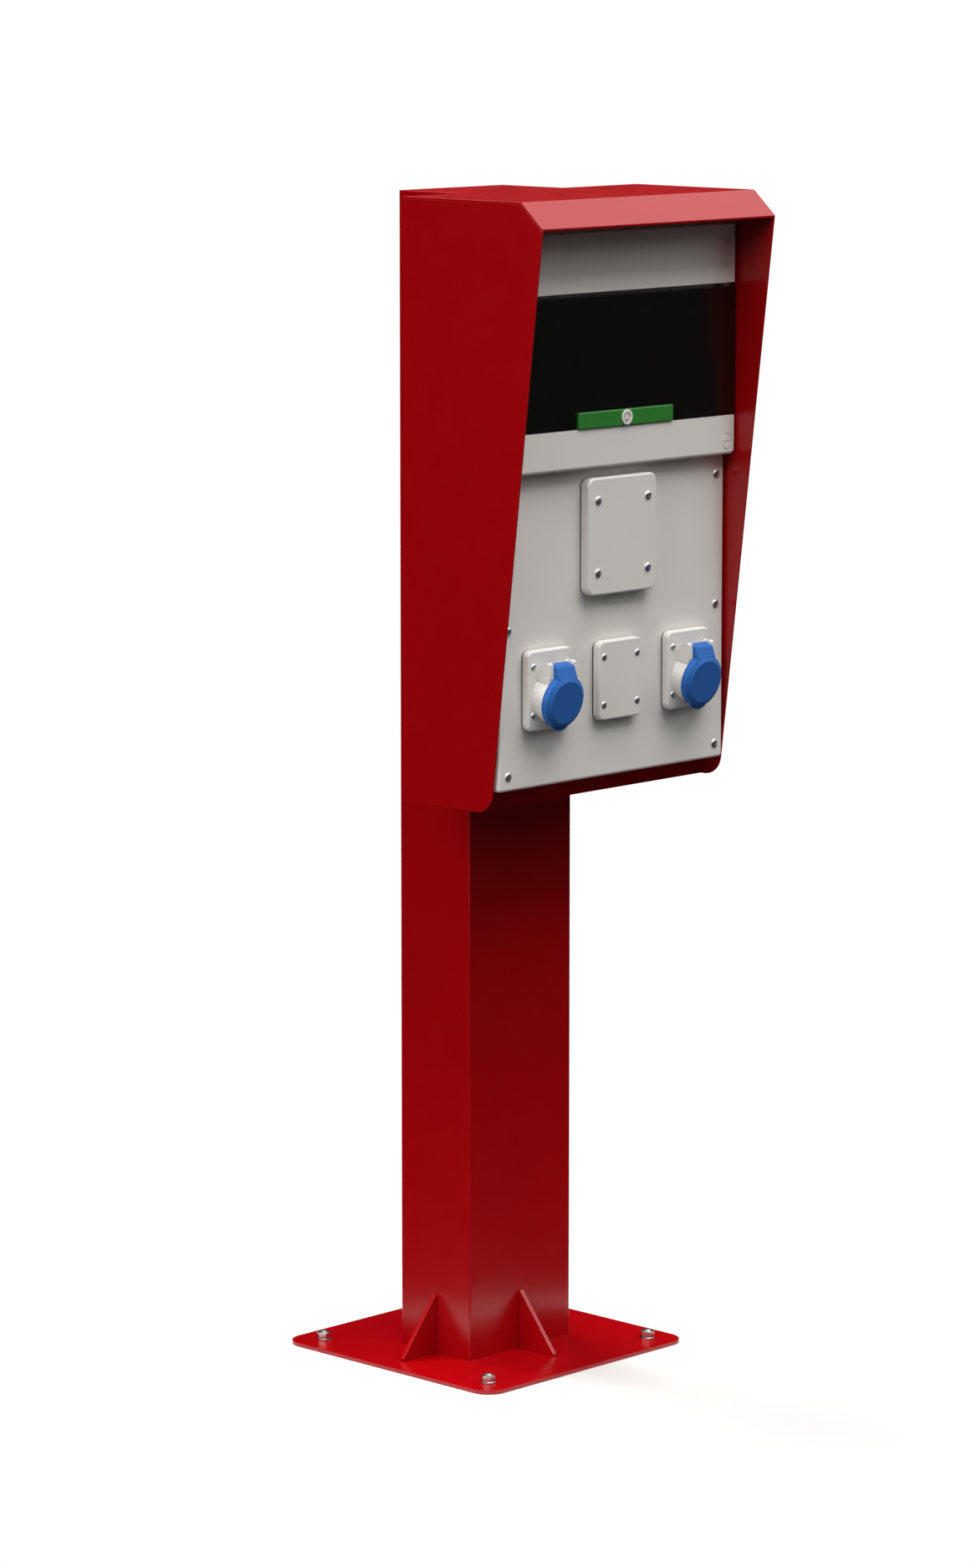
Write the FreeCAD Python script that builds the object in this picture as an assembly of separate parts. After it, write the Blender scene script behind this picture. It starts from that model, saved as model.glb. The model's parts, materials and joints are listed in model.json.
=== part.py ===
import FreeCAD, Part
import math
import os
from FreeCAD import Vector

# Floor-standing power and socket pedestal.
# Millimetres. X is to the right seen from the front, Y to the back, Z up.
# The origin lies on the column's axis at the underside of the base plate.

# Base plate and its anchors
PLATE_SIDE = 300.0
PLATE_THICK = 4.0
PLATE_CORNER = 22.0
CABLE_BORE = 40.0
ANCHOR_PITCH = 240.0
ANCHOR_STUD = 4.0
ANCHOR_HOLE = 4.5
WASHER_OUTER = 8.0
WASHER_THICK = 1.6
NUT_ACROSS_FLATS = 13.0
NUT_HEIGHT = 6.5
STUD_ABOVE_NUT = 1.5

# Column, a rectangular tube with a cap of its own outline
COLUMN_X = 150.0
COLUMN_Y = 100.0
COLUMN_WALL = 3.0
COLUMN_CORNER = 2.0
COLUMN_TOP = 1204.0
CAP_THICK = 3.0
GUSSET_REACH = 50.0
GUSSET_HEIGHT = 62.0
GUSSET_THICK = 5.0

# Hood, folded from sheet
SHEET = 2.0
HOOD_HALF = 170.0
HOOD_BACK = -COLUMN_Y / 2
HOOD_TOP = 1205.0
HOOD_BOTTOM = 602.2
ROOF_FRONT = -212.5
VISOR_TIP_Y = -240.8
VISOR_TIP_Z = 1180.2
RAKE = 0.1203
HOOD_CORNER = 22.0
MOUNT_FACE = -146.8
CARRIER_TOP = 1196.0
RETURN_DEPTH = 20.0

# Way of the supply cable from the column into the box
ENTRY_Z = 700.0
ENTRY_HOLE = 20.0
HOOD_BOLT_X = 50.0
HOOD_BOLT_ZS = (660.0, 1150.0)

# Grey box: a shallow tray in front of the mounting plate, a deep trough behind it
GASKET = 2.0
TRAY_HALF = 161.5
TRAY_WALL = 2.5
TRAY_BOTTOM = 627.0
TRAY_TOP = 1174.0
FLOOR_THICK = 3.0
TROUGH_HALF = 140.0
TROUGH_BOTTOM = 650.0
TROUGH_TOP = 1140.0
TROUGH_BACK = -75.0
LOWER_RIM = -173.2
UPPER_RIM = -182.0
MULLION_BOTTOM = 929.0
MULLION_TOP = 943.0
MULLION_FACE = -168.0
SEAL_THICK = 3.0

# Lower cover
COVER_WALL = 2.5
SKIRT_BACK = -153.0
SKIRT_AT_MULLION = -169.0
LOWER_HALF = 165.0
LOWER_FACE = -178.7
LOWER_BOTTOM = 623.5
LOWER_TOP = 935.9
LOWER_SCREW_X = 152.7
LOWER_SCREW_ZS = (638.3, 782.9, 916.4)
COVER_HEAD = 4.5

# Upper cover with its window
UPPER_HALF = 165.5
UPPER_FACE = -193.2
UPPER_BOTTOM = 936.9
UPPER_FACE_TOP = 1170.0
UPPER_BEVEL = 12.0
WINDOW_BOTTOM = 976.8
WINDOW_TOP = 1111.5
LAND_FACE = -187.5
LAND_BACK = -185.0
APERTURE_HALF = 135.0
APERTURE_BOTTOM = 992.0
APERTURE_TOP = 1096.0
LOCK_X = 153.3
LOCK_ZS = (950.3, 1158.3)
LOCK_RADIUS = 7.6
LOCK_GAP = 0.7

# Window flap, its hinge and its lock
FLAP_FACE = -192.2
FLAP_THICK = 3.0
FLAP_BOTTOM = 977.3
FLAP_TOP = 1108.3
HINGE_Y = -188.0
HINGE_Z = 1106.9
HINGE_PIN = 1.5
HUB_RADIUS = 2.9
LUG_RADIUS = 2.3
HINGE_PLAY = 0.05
BAR_HALF = 69.0
BAR_TOP = 993.5
BAR_PROUD = 3.3
KEY_Z = 985.5
KEY_DISC = 7.75
KEY_BODY = 5.5

# Blank plates and socket flanges on the lower cover
OUTLET_GASKET = 1.7
LARGE_HALF_X = 50.0
LARGE_Z = (809.3, 926.8)
LARGE_FACE = -191.0
PLATE_ROUND = 2.0
LARGE_CORNER = 9.0
LARGE_SCREWS = (36.5, 36.25)
SMALL_HALF_X = 31.5
SMALL_Z = (682.0, 762.0)
SMALL_FACE = -188.7
SMALL_CORNER = 7.0
SMALL_SCREWS = (24.4, 24.25)
SMALL_HEAD = 3.5
SOCKET_XS = (-102.5, 102.5)

# Socket, measured along its own axis from the flange
SOCKET_TILT = 10.0
SOCKET_ROOT_Y = -189.0
SOCKET_ROOT_Z = 714.4
BARREL_RADIUS = 25.6
BARREL_END = 13.4
MOUTH_RADIUS = 24.4
MOUTH_END = 17.2
PLUG_BORE = 21.7
REAR_RADIUS = 23.0
REAR_END = -38.0
CORE_RADIUS = 15.0
CORE_END = 9.0
CARRIER_FRONT = -14.0
CARRIER_BACK = -30.0
CONTACT_CIRCLE = 9.0
CONTACT_OUTER = 3.4
CONTACT_BORE = 2.4
LID_SKIRT = 27.1
LID_RIM = 26.4
LID_INNER = 25.4
LID_BACK = 13.7
LID_FRONT = 20.0
LID_DISC = 21.5
LID_DISC_FRONT = 23.0
TAB_RADIUS = 15.0
TAB_REACH = 30.4
TAB_FRONT = 18.3
LID_PIVOT_S = 5.5
LID_PIVOT_R = 32.0
LID_PIN = 1.5
ARM_HALF = 13.0
ARM_HUB = 4.6
ARM_CROWN = 65.0
EAR_INNER = 13.4
EAR_OUTER = 19.5

# Switchgear on its rail
RAIL_Z = 1045.0
RAIL_LIP = -116.0
RAIL_DEPTH = 7.5
RAIL_HALF = 75.0
MODULE = 17.5
DEVICE_SHOULDER = -160.0
DEVICE_NOSE = -176.0
DEVICE_BACK = -111.0
TOGGLE_DRUM = 6.6
TOGGLE_REACH = 12.4
TOGGLE_HALF = 2.2
TOGGLE_LEAN = 38.0
GUARD_FACE = -166.0


def box(x0, x1, y0, y1, z0, z1):
    """An upright block between two corners."""
    return Part.makeBox(x1 - x0, y1 - y0, z1 - z0, Vector(x0, y0, z0))


def rod(radius, x, y, z, axis, length):
    """A round rod that starts at a point and runs along an axis."""
    return Part.makeCylinder(radius, length, Vector(x, y, z), axis)


def front_rod(radius, x, z, y_front, y_back):
    """A round rod along Y between two depths."""
    return rod(radius, x, y_front, z, Vector(0, 1, 0), y_back - y_front)


def side_prism(points, x0, x1):
    """A (y, z) outline drawn out along X."""
    corners = [Vector(x0, y, z) for y, z in points]
    wire = Part.makePolygon(corners + corners[:1])
    return Part.Face(wire).extrude(Vector(x1 - x0, 0, 0))


def front_prism(points, y0, y1):
    """An (x, z) outline drawn out along Y."""
    corners = [Vector(x, y0, z) for x, z in points]
    wire = Part.makePolygon(corners + corners[:1])
    return Part.Face(wire).extrude(Vector(0, y1 - y0, 0))


def hexagon(across_flats, x, y, z, axis, height):
    """A nut's blank: a hexagonal prism along Y or Z."""
    reach = across_flats / math.sqrt(3)
    corners = []
    for k in range(6):
        a = math.radians(60 * k)
        u, v = reach * math.cos(a), reach * math.sin(a)
        corners.append(Vector(x + u, y, z + v) if axis.y else Vector(x + u, y + v, z))
    return Part.Face(Part.makePolygon(corners + corners[:1])).extrude(axis * height)


def fused(shapes):
    """One solid from several that share volume."""
    return shapes[0].multiFuse(shapes[1:]).removeSplitter()


def cut(shape, tools):
    """A shape less every tool."""
    for tool in tools:
        shape = shape.cut(tool)
    return shape


def rounded(shape, radius, chosen):
    """Rounds the edges whose two ends pass the test."""
    edges = [e for e in shape.Edges if chosen(e)]
    return shape.makeFillet(radius, edges)


def runs_along(edge, name):
    """True for a straight edge along the named direction."""
    ends = edge.Vertexes
    if len(ends) < 2:
        return False
    gap = ends[1].Point - ends[0].Point
    return abs(abs(getattr(gap, name)) - gap.Length) < 1e-6


def lies_at(edge, name, value):
    """True where both ends of an edge have the given coordinate."""
    return all(abs(getattr(v.Point, name) - value) < 1e-6 for v in edge.Vertexes)


def moulded_plate(half_x, zs, y_front, y_back, corner, front_round):
    """A plate that faces the front, with round corners and a soft front edge."""
    plate = box(-half_x, half_x, y_front, y_back, zs[0], zs[1])
    plate = rounded(plate, corner, lambda e: runs_along(e, "y"))
    return rounded(plate, front_round, lambda e: lies_at(e, "y", y_front))


def pan_screw(head, shank, x, z, y_seat, y_end):
    """A pan-head screw with a cross recess, its head in front of its seat."""
    height = head * 0.42
    dome = Part.makeSphere(head * 1.75, Vector(x, y_seat - height + head * 1.75, z))
    body = front_rod(head, x, z, y_seat - height, y_seat).common(dome)
    cross = []
    for u, v in ((head * 0.55, head * 0.13), (head * 0.13, head * 0.55)):
        cross.append(box(x - u, x + u, y_seat - height - 1, y_seat - height * 0.25, z - v, z + v))
    return cut(fused([body, front_rod(shank, x, z, y_seat - 0.01, y_end)]), cross)


def export(name, shapes):
    """Writes one node, as one solid or a group of solids."""
    shape = shapes[0] if len(shapes) == 1 else Part.makeCompound(shapes)
    shape.exportStep("parts/%s.step" % name)
    solids = sum(len(s.Solids) for s in shapes)
    valid = all(s.isValid() for s in shapes)
    print("%-26s %2d solids, valid %s, %.0f mm3" % (name, solids, valid, shape.Volume))


# Foot

def anchor_points():
    """The four anchor centres."""
    half = ANCHOR_PITCH / 2
    return [(x, y) for x in (-half, half) for y in (-half, half)]


def base_plate():
    """Square plate with round corners, a cable hole and four anchor holes."""
    half = PLATE_SIDE / 2
    plate = box(-half, half, -half, half, 0, PLATE_THICK)
    plate = rounded(plate, PLATE_CORNER, lambda e: runs_along(e, "z"))
    up = Vector(0, 0, 1)
    holes = [rod(ANCHOR_HOLE, x, y, -1, up, PLATE_THICK + 2) for x, y in anchor_points()]
    return cut(plate, holes + [rod(CABLE_BORE, 0, 0, -1, up, PLATE_THICK + 2)])


def anchors():
    """Studs, washers and nuts of the four floor anchors."""
    up = Vector(0, 0, 1)
    washer_top = PLATE_THICK + WASHER_THICK
    nut_top = washer_top + NUT_HEIGHT
    slope = NUT_ACROSS_FLATS / 2 * math.tan(math.radians(30))
    studs, washers, nuts = [], [], []
    for x, y in anchor_points():
        stud = rod(ANCHOR_STUD, x, y, 0, up, nut_top + STUD_ABOVE_NUT)
        studs.append(stud.makeChamfer(0.6, [e for e in stud.Edges if lies_at(e, "z", stud.BoundBox.ZMax)]))
        hole = rod(ANCHOR_STUD, x, y, 0, up, nut_top + 5)
        washers.append(rod(WASHER_OUTER, x, y, PLATE_THICK, up, WASHER_THICK).cut(hole))
        blank = hexagon(NUT_ACROSS_FLATS, x, y, washer_top, up, NUT_HEIGHT)
        straight = rod(NUT_ACROSS_FLATS, x, y, washer_top, up, NUT_HEIGHT - slope)
        cone = Part.makeCone(NUT_ACROSS_FLATS, NUT_ACROSS_FLATS / 2, slope,
                             Vector(x, y, nut_top - slope), up)
        nuts.append(blank.common(fused([straight, cone])).cut(hole))
    return studs, washers, nuts


def column_outline(inset, z0, z1):
    """The tube's outline, or its inside."""
    x, y = COLUMN_X / 2 - inset, COLUMN_Y / 2 - inset
    block = box(-x, x, -y, y, z0, z1)
    return rounded(block, COLUMN_CORNER, lambda e: runs_along(e, "z"))


def column():
    """The tube, with the cable's way out and four bolt holes in its front wall."""
    top = COLUMN_TOP - CAP_THICK
    tube = column_outline(0, PLATE_THICK, top).cut(column_outline(COLUMN_WALL, 0, top + 1))
    y0, y1 = HOOD_BACK - 1, HOOD_BACK + COLUMN_WALL + 1
    holes = [front_rod(WASHER_OUTER / 2 + 0.2, x, z, y0, y1) for x, z in hood_bolt_points()]
    return cut(tube, holes + [front_rod(ENTRY_HOLE, 0, ENTRY_Z, y0, y1)])


def gusset(turn):
    """A triangular web that stands on the plate against one wall of the column."""
    reach = COLUMN_X / 2 if turn % 180 else COLUMN_Y / 2
    z0 = PLATE_THICK
    points = [(-reach, z0), (-reach - GUSSET_REACH, z0), (-reach - GUSSET_REACH, z0 + 2),
              (-reach - 2, z0 + GUSSET_HEIGHT), (-reach, z0 + GUSSET_HEIGHT)]
    web = side_prism(points, -GUSSET_THICK / 2, GUSSET_THICK / 2)
    web.rotate(Vector(0, 0, 0), Vector(0, 0, 1), turn)
    return web


# Hood

def visor_outline():
    """Inner bend and inner tip of the visor, in (y, z)."""
    dy, dz = ROOF_FRONT - VISOR_TIP_Y, HOOD_TOP - VISOR_TIP_Z
    length = math.hypot(dy, dz)
    inward = (dz / length, -dy / length)
    edge = (RAKE / math.hypot(1, RAKE), -1 / math.hypot(1, RAKE))
    t = SHEET / (inward[0] * edge[0] + inward[1] * edge[1])
    tip = (VISOR_TIP_Y + t * edge[0], VISOR_TIP_Z + t * edge[1])
    rise = HOOD_TOP - SHEET - tip[1]
    return (tip[0] + rise * dy / dz, HOOD_TOP - SHEET), tip


def hood_roof():
    """Roof and visor, one folded sheet over the side panels' edges."""
    bend, tip = visor_outline()
    points = [(HOOD_BACK, HOOD_TOP), (ROOF_FRONT, HOOD_TOP), (VISOR_TIP_Y, VISOR_TIP_Z),
              tip, bend, (HOOD_BACK, HOOD_TOP - SHEET)]
    return side_prism(points, -HOOD_HALF, HOOD_HALF)


def hood_side(x0):
    """A side cheek with a raking front edge and a round lower corner."""
    bend, tip = visor_outline()
    foot = tip[0] + RAKE * (tip[1] - HOOD_BOTTOM)
    points = [(HOOD_BACK, HOOD_BOTTOM), (HOOD_BACK, HOOD_TOP - SHEET), bend, tip, (foot, HOOD_BOTTOM)]
    cheek = side_prism(points, x0, x0 + SHEET)
    foot_edges = [e for e in cheek.Edges if runs_along(e, "x") and lies_at(e, "z", HOOD_BOTTOM)]
    return cheek.makeFillet(HOOD_CORNER, [e for e in foot_edges if not lies_at(e, "y", HOOD_BACK)])


def hood_bolt_points():
    """The four bolts that hold the hood's back to the column."""
    return [(x, z) for x in (-HOOD_BOLT_X, HOOD_BOLT_X) for z in HOOD_BOLT_ZS]


def hood_back():
    """Back sheet against the column."""
    half = HOOD_HALF - SHEET
    sheet = box(-half, half, HOOD_BACK - SHEET, HOOD_BACK, HOOD_BOTTOM, HOOD_TOP - SHEET)
    y0, y1 = HOOD_BACK - SHEET - 1, HOOD_BACK + 1
    holes = [front_rod(WASHER_OUTER / 2 + 0.2, x, z, y0, y1) for x, z in hood_bolt_points()]
    return cut(sheet, holes + [front_rod(ENTRY_HOLE, 0, ENTRY_Z, y0, y1)])


def hood_fixings():
    """Bolts, washers and weld nuts between the hood and the column."""
    seat = HOOD_BACK - SHEET
    inside = HOOD_BACK + COLUMN_WALL
    back = Vector(0, 1, 0)
    bolts, washers, nuts = [], [], []
    for x, z in hood_bolt_points():
        washers.append(cut(front_rod(WASHER_OUTER, x, z, seat - WASHER_THICK, seat),
                           [front_rod(ANCHOR_STUD, x, z, seat - 5, seat + 5)]))
        head = hexagon(NUT_ACROSS_FLATS, x, seat - WASHER_THICK - 5.3, z, back, 5.3)
        shank = front_rod(ANCHOR_STUD, x, z, seat - WASHER_THICK - 1, inside + NUT_HEIGHT + 2)
        bolts.append(fused([head, shank]))
        nuts.append(cut(hexagon(NUT_ACROSS_FLATS, x, inside, z, back, NUT_HEIGHT),
                        [front_rod(ANCHOR_STUD, x, z, inside - 1, inside + NUT_HEIGHT + 1)]))
    return bolts, washers, nuts


def mounting_plate():
    """Inner sheet that carries the grey box, with a return along its foot."""
    half = HOOD_HALF - SHEET
    sheet = box(-half, half, MOUNT_FACE, MOUNT_FACE + SHEET, HOOD_BOTTOM, CARRIER_TOP)
    lip = box(-half, half, MOUNT_FACE, MOUNT_FACE + RETURN_DEPTH, HOOD_BOTTOM, HOOD_BOTTOM + SHEET)
    gap = 1.0
    window = box(-TROUGH_HALF - gap, TROUGH_HALF + gap, MOUNT_FACE - 1, MOUNT_FACE + SHEET + 1,
                 TROUGH_BOTTOM - gap, TROUGH_TOP + gap)
    holes = [front_rod(2.0, x, z, MOUNT_FACE - 1, MOUNT_FACE + SHEET + 1) for x, z in tray_screw_points()]
    return cut(fused([sheet, lip]), [window] + holes)


def cable_grommet():
    """Rubber ring with a groove over both sheet edges of the cable's way."""
    y0, y1 = HOOD_BACK - SHEET, HOOD_BACK + COLUMN_WALL
    neck = front_rod(ENTRY_HOLE - 0.1, 0, ENTRY_Z, y0 - 2.5, y1 + 2.5)
    front = front_rod(ENTRY_HOLE + 3.5, 0, ENTRY_Z, y0 - 2.5, y0)
    rear = front_rod(ENTRY_HOLE + 3.5, 0, ENTRY_Z, y1, y1 + 2.5)
    return fused([neck, front, rear]).cut(front_rod(ENTRY_HOLE - 3.5, 0, ENTRY_Z, y0 - 5, y1 + 5))


# Grey box

FLOOR_FACE = MOUNT_FACE - GASKET - FLOOR_THICK
LOWER_INSIDE = LOWER_FACE + COVER_WALL
UPPER_INSIDE = UPPER_FACE + COVER_WALL


def tray_screw_points():
    """Screws through the tray's floor into the mounting plate."""
    return [(x, z) for x in (-148.0, 148.0) for z in (665.0, 850.0, 1060.0)]


def guard_post_points():
    """Posts that carry the touch guard."""
    return [(x, z) for x in (-143.0, 143.0) for z in (955.0, 1143.0)]


def cover_screw_points():
    """The six screws of the lower cover."""
    return [(x, z) for x in (-LOWER_SCREW_X, LOWER_SCREW_X) for z in LOWER_SCREW_ZS]


def lock_points():
    """The four quarter-turn locks of the upper cover."""
    return [(x, z) for x in (-LOCK_X, LOCK_X) for z in LOCK_ZS]


def flange_gasket():
    """Flat gasket between the tray's floor and the mounting plate."""
    outer = box(-TRAY_HALF, TRAY_HALF, MOUNT_FACE - GASKET, MOUNT_FACE, TRAY_BOTTOM, TRAY_TOP)
    inner = box(-TROUGH_HALF - 1, TROUGH_HALF + 1, MOUNT_FACE - 5, MOUNT_FACE + 1,
                TROUGH_BOTTOM - 1, TROUGH_TOP + 1)
    holes = [front_rod(2.3, x, z, MOUNT_FACE - 5, MOUNT_FACE + 1) for x, z in tray_screw_points()]
    return cut(outer, [inner] + holes)


def tray():
    """Shallow front part: rim, floor and the bar between the two covers."""
    outer = fused([box(-TRAY_HALF, TRAY_HALF, LOWER_RIM, FLOOR_FACE + FLOOR_THICK, TRAY_BOTTOM, MULLION_TOP),
                   box(-TRAY_HALF, TRAY_HALF, UPPER_RIM, FLOOR_FACE + FLOOR_THICK,
                       MULLION_TOP - 3, TRAY_TOP)])
    inside = TRAY_HALF - TRAY_WALL
    lower = box(-inside, inside, UPPER_RIM - 1, FLOOR_FACE, TRAY_BOTTOM + TRAY_WALL, MULLION_BOTTOM)
    upper = box(-inside, inside, UPPER_RIM - 1, FLOOR_FACE, MULLION_TOP, TRAY_TOP - TRAY_WALL)
    channel = box(-TRAY_HALF - 1, TRAY_HALF + 1, LOWER_RIM - 1, MULLION_FACE,
                  MULLION_BOTTOM + 3.5, MULLION_TOP - 3)
    behind = box(-inside, inside, MULLION_FACE + 3, FLOOR_FACE, MULLION_BOTTOM - 1, MULLION_TOP + 1)
    return cut(outer, [lower, upper, channel, behind])


def trough():
    """Deep part behind the mounting plate, open to the front."""
    front = FLOOR_FACE + FLOOR_THICK
    shell = box(-TROUGH_HALF, TROUGH_HALF, front - 1, TROUGH_BACK, TROUGH_BOTTOM, TROUGH_TOP)
    return rounded(shell, 4, lambda e: lies_at(e, "y", TROUGH_BACK))


def enclosure():
    """The grey box in two mouldings, the tray in front and the trough behind the mounting plate."""
    wall = FLOOR_THICK
    hollow = box(-TROUGH_HALF + wall, TROUGH_HALF - wall, FLOOR_FACE - 1, TROUGH_BACK - wall,
                 TROUGH_BOTTOM + wall, TROUGH_TOP - wall)
    body = fused([tray(), trough()]).cut(hollow)
    posts = [front_rod(4.5, x, z, LOWER_RIM, FLOOR_FACE + 1) for x, z in cover_screw_points()]
    posts += [front_rod(4.0, x, z, GUARD_FACE + 2.5, FLOOR_FACE + 1) for x, z in guard_post_points()]
    posts += [front_rod(6.0, x, RAIL_Z, RAIL_LIP + RAIL_DEPTH, TROUGH_BACK - 1) for x in (-60.0, 60.0)]
    for x, z in lock_points():
        side = math.copysign(1, x)
        x0, x1 = sorted((side * 156.3, side * (TRAY_HALF - 1)))
        posts.append(box(x0, x1, -164, -161, z - 5, z + 5))
    bores = [front_rod(1.75, x, z, LOWER_RIM - 1, FLOOR_FACE - 2) for x, z in cover_screw_points()]
    bores += [front_rod(1.75, x, z, GUARD_FACE, FLOOR_FACE - 1) for x, z in guard_post_points()]
    bores += [front_rod(2.3, x, z, FLOOR_FACE - 1, MOUNT_FACE) for x, z in tray_screw_points()]
    bores += [front_rod(16.0, 0, ENTRY_Z, TROUGH_BACK - 10, TROUGH_BACK + 1)]
    bores += [front_rod(2.0, x, RAIL_Z, RAIL_LIP, -90) for x in (-60.0, 60.0)]
    whole = cut(fused([body] + posts), bores)
    reach = TRAY_HALF + 1
    ahead = box(-reach, reach, UPPER_RIM - 1, FLOOR_FACE + FLOOR_THICK, TRAY_BOTTOM - 1, TRAY_TOP + 1)
    return whole.common(ahead), whole.cut(ahead)


def cable_gland():
    """Gland in the box's back wall, opposite the column's cable hole."""
    wall_in, wall_out = TROUGH_BACK - FLOOR_THICK, TROUGH_BACK
    thread = front_rod(15.9, 0, ENTRY_Z, wall_in - 9, wall_out + 14)
    collar = hexagon(38.0, 0, wall_out, ENTRY_Z, Vector(0, 1, 0), 5)
    dome = front_rod(17.5, 0, ENTRY_Z, wall_out + 7, wall_out + 17)
    locknut = hexagon(38.0, 0, wall_in - 5, ENTRY_Z, Vector(0, 1, 0), 5)
    return fused([thread, collar, dome, locknut]).cut(front_rod(11, 0, ENTRY_Z, wall_in - 20, wall_out + 20))


def ring_frame(half, z0, z1, width, y0, y1):
    """A flat rectangular frame."""
    outer = box(-half, half, y0, y1, z0, z1)
    return outer.cut(box(-half + width, half - width, y0 - 1, y1 + 1, z0 + width, z1 - width))


def cover_seals():
    """Two rubber frames between the rims and the covers."""
    lower = ring_frame(TRAY_HALF, TRAY_BOTTOM, MULLION_BOTTOM + 3.5, TRAY_WALL,
                       LOWER_RIM - SEAL_THICK, LOWER_RIM)
    upper = ring_frame(TRAY_HALF, MULLION_TOP - 3, TRAY_TOP, TRAY_WALL, UPPER_RIM - SEAL_THICK, UPPER_RIM)
    return [lower, upper]


# Covers

def outlet_screw_points(x0, zs, pitch):
    """Four screw centres round the middle of an outlet."""
    middle = (zs[0] + zs[1]) / 2
    return [(x0 + u, middle + v) for u in (-pitch[0], pitch[0]) for v in (-pitch[1], pitch[1])]


def flange_screw_points():
    """The screws of both socket flanges and of the small blank."""
    points = []
    for x0 in SOCKET_XS + (0.0,):
        points += outlet_screw_points(x0, SMALL_Z, SMALL_SCREWS)
    return points


def lower_cover():
    """Shallow moulding with the outlet holes, and bosses behind every screw."""
    shell = box(-LOWER_HALF, LOWER_HALF, LOWER_FACE, SKIRT_BACK, LOWER_BOTTOM, LOWER_TOP)
    shell = rounded(shell, 4, lambda e: runs_along(e, "y"))
    shell = rounded(shell, 3.0, lambda e: lies_at(e, "y", LOWER_FACE))
    inside = LOWER_HALF - COVER_WALL
    hollow = box(-inside, inside, LOWER_INSIDE, SKIRT_BACK + 1,
                 LOWER_BOTTOM + COVER_WALL, LOWER_TOP - COVER_WALL)
    notch = box(-TRAY_HALF - 2, TRAY_HALF + 2, SKIRT_AT_MULLION, SKIRT_BACK + 1,
                LOWER_TOP - COVER_WALL - 1, LOWER_TOP + 1)
    shell = cut(shell, [hollow, notch])
    bosses = [front_rod(4.5, x, z, LOWER_INSIDE - 1, LOWER_RIM - 0.2) for x, z in cover_screw_points()]
    small = flange_screw_points()
    large = outlet_screw_points(0, LARGE_Z, LARGE_SCREWS)
    bosses += [front_rod(4.0, x, z, LOWER_INSIDE - 1, LOWER_INSIDE + 11) for x, z in small + large]
    holes = [front_rod(2.2, x, z, LOWER_FACE - 1, LOWER_RIM) for x, z in cover_screw_points()]
    holes += [front_rod(1.75, x, z, LOWER_FACE - 1, LOWER_INSIDE + 9) for x, z in small + large]
    middle = (SMALL_Z[0] + SMALL_Z[1]) / 2
    for x in SOCKET_XS:
        holes.append(front_rod(REAR_RADIUS + 2.5, x, middle - 4, LOWER_FACE - 1, LOWER_INSIDE + 1))
    holes += [front_rod(REAR_RADIUS, 0, middle, LOWER_FACE - 1, LOWER_INSIDE + 1)]
    holes += [box(-40, 40, LOWER_FACE - 1, LOWER_INSIDE + 1, LARGE_Z[0] + 32, LARGE_Z[1] - 32),
              box(-28, 28, LOWER_FACE - 1, LOWER_INSIDE + 1, LARGE_Z[0] + 12, LARGE_Z[1] - 12)]
    return cut(fused([shell] + bosses), holes)


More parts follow.
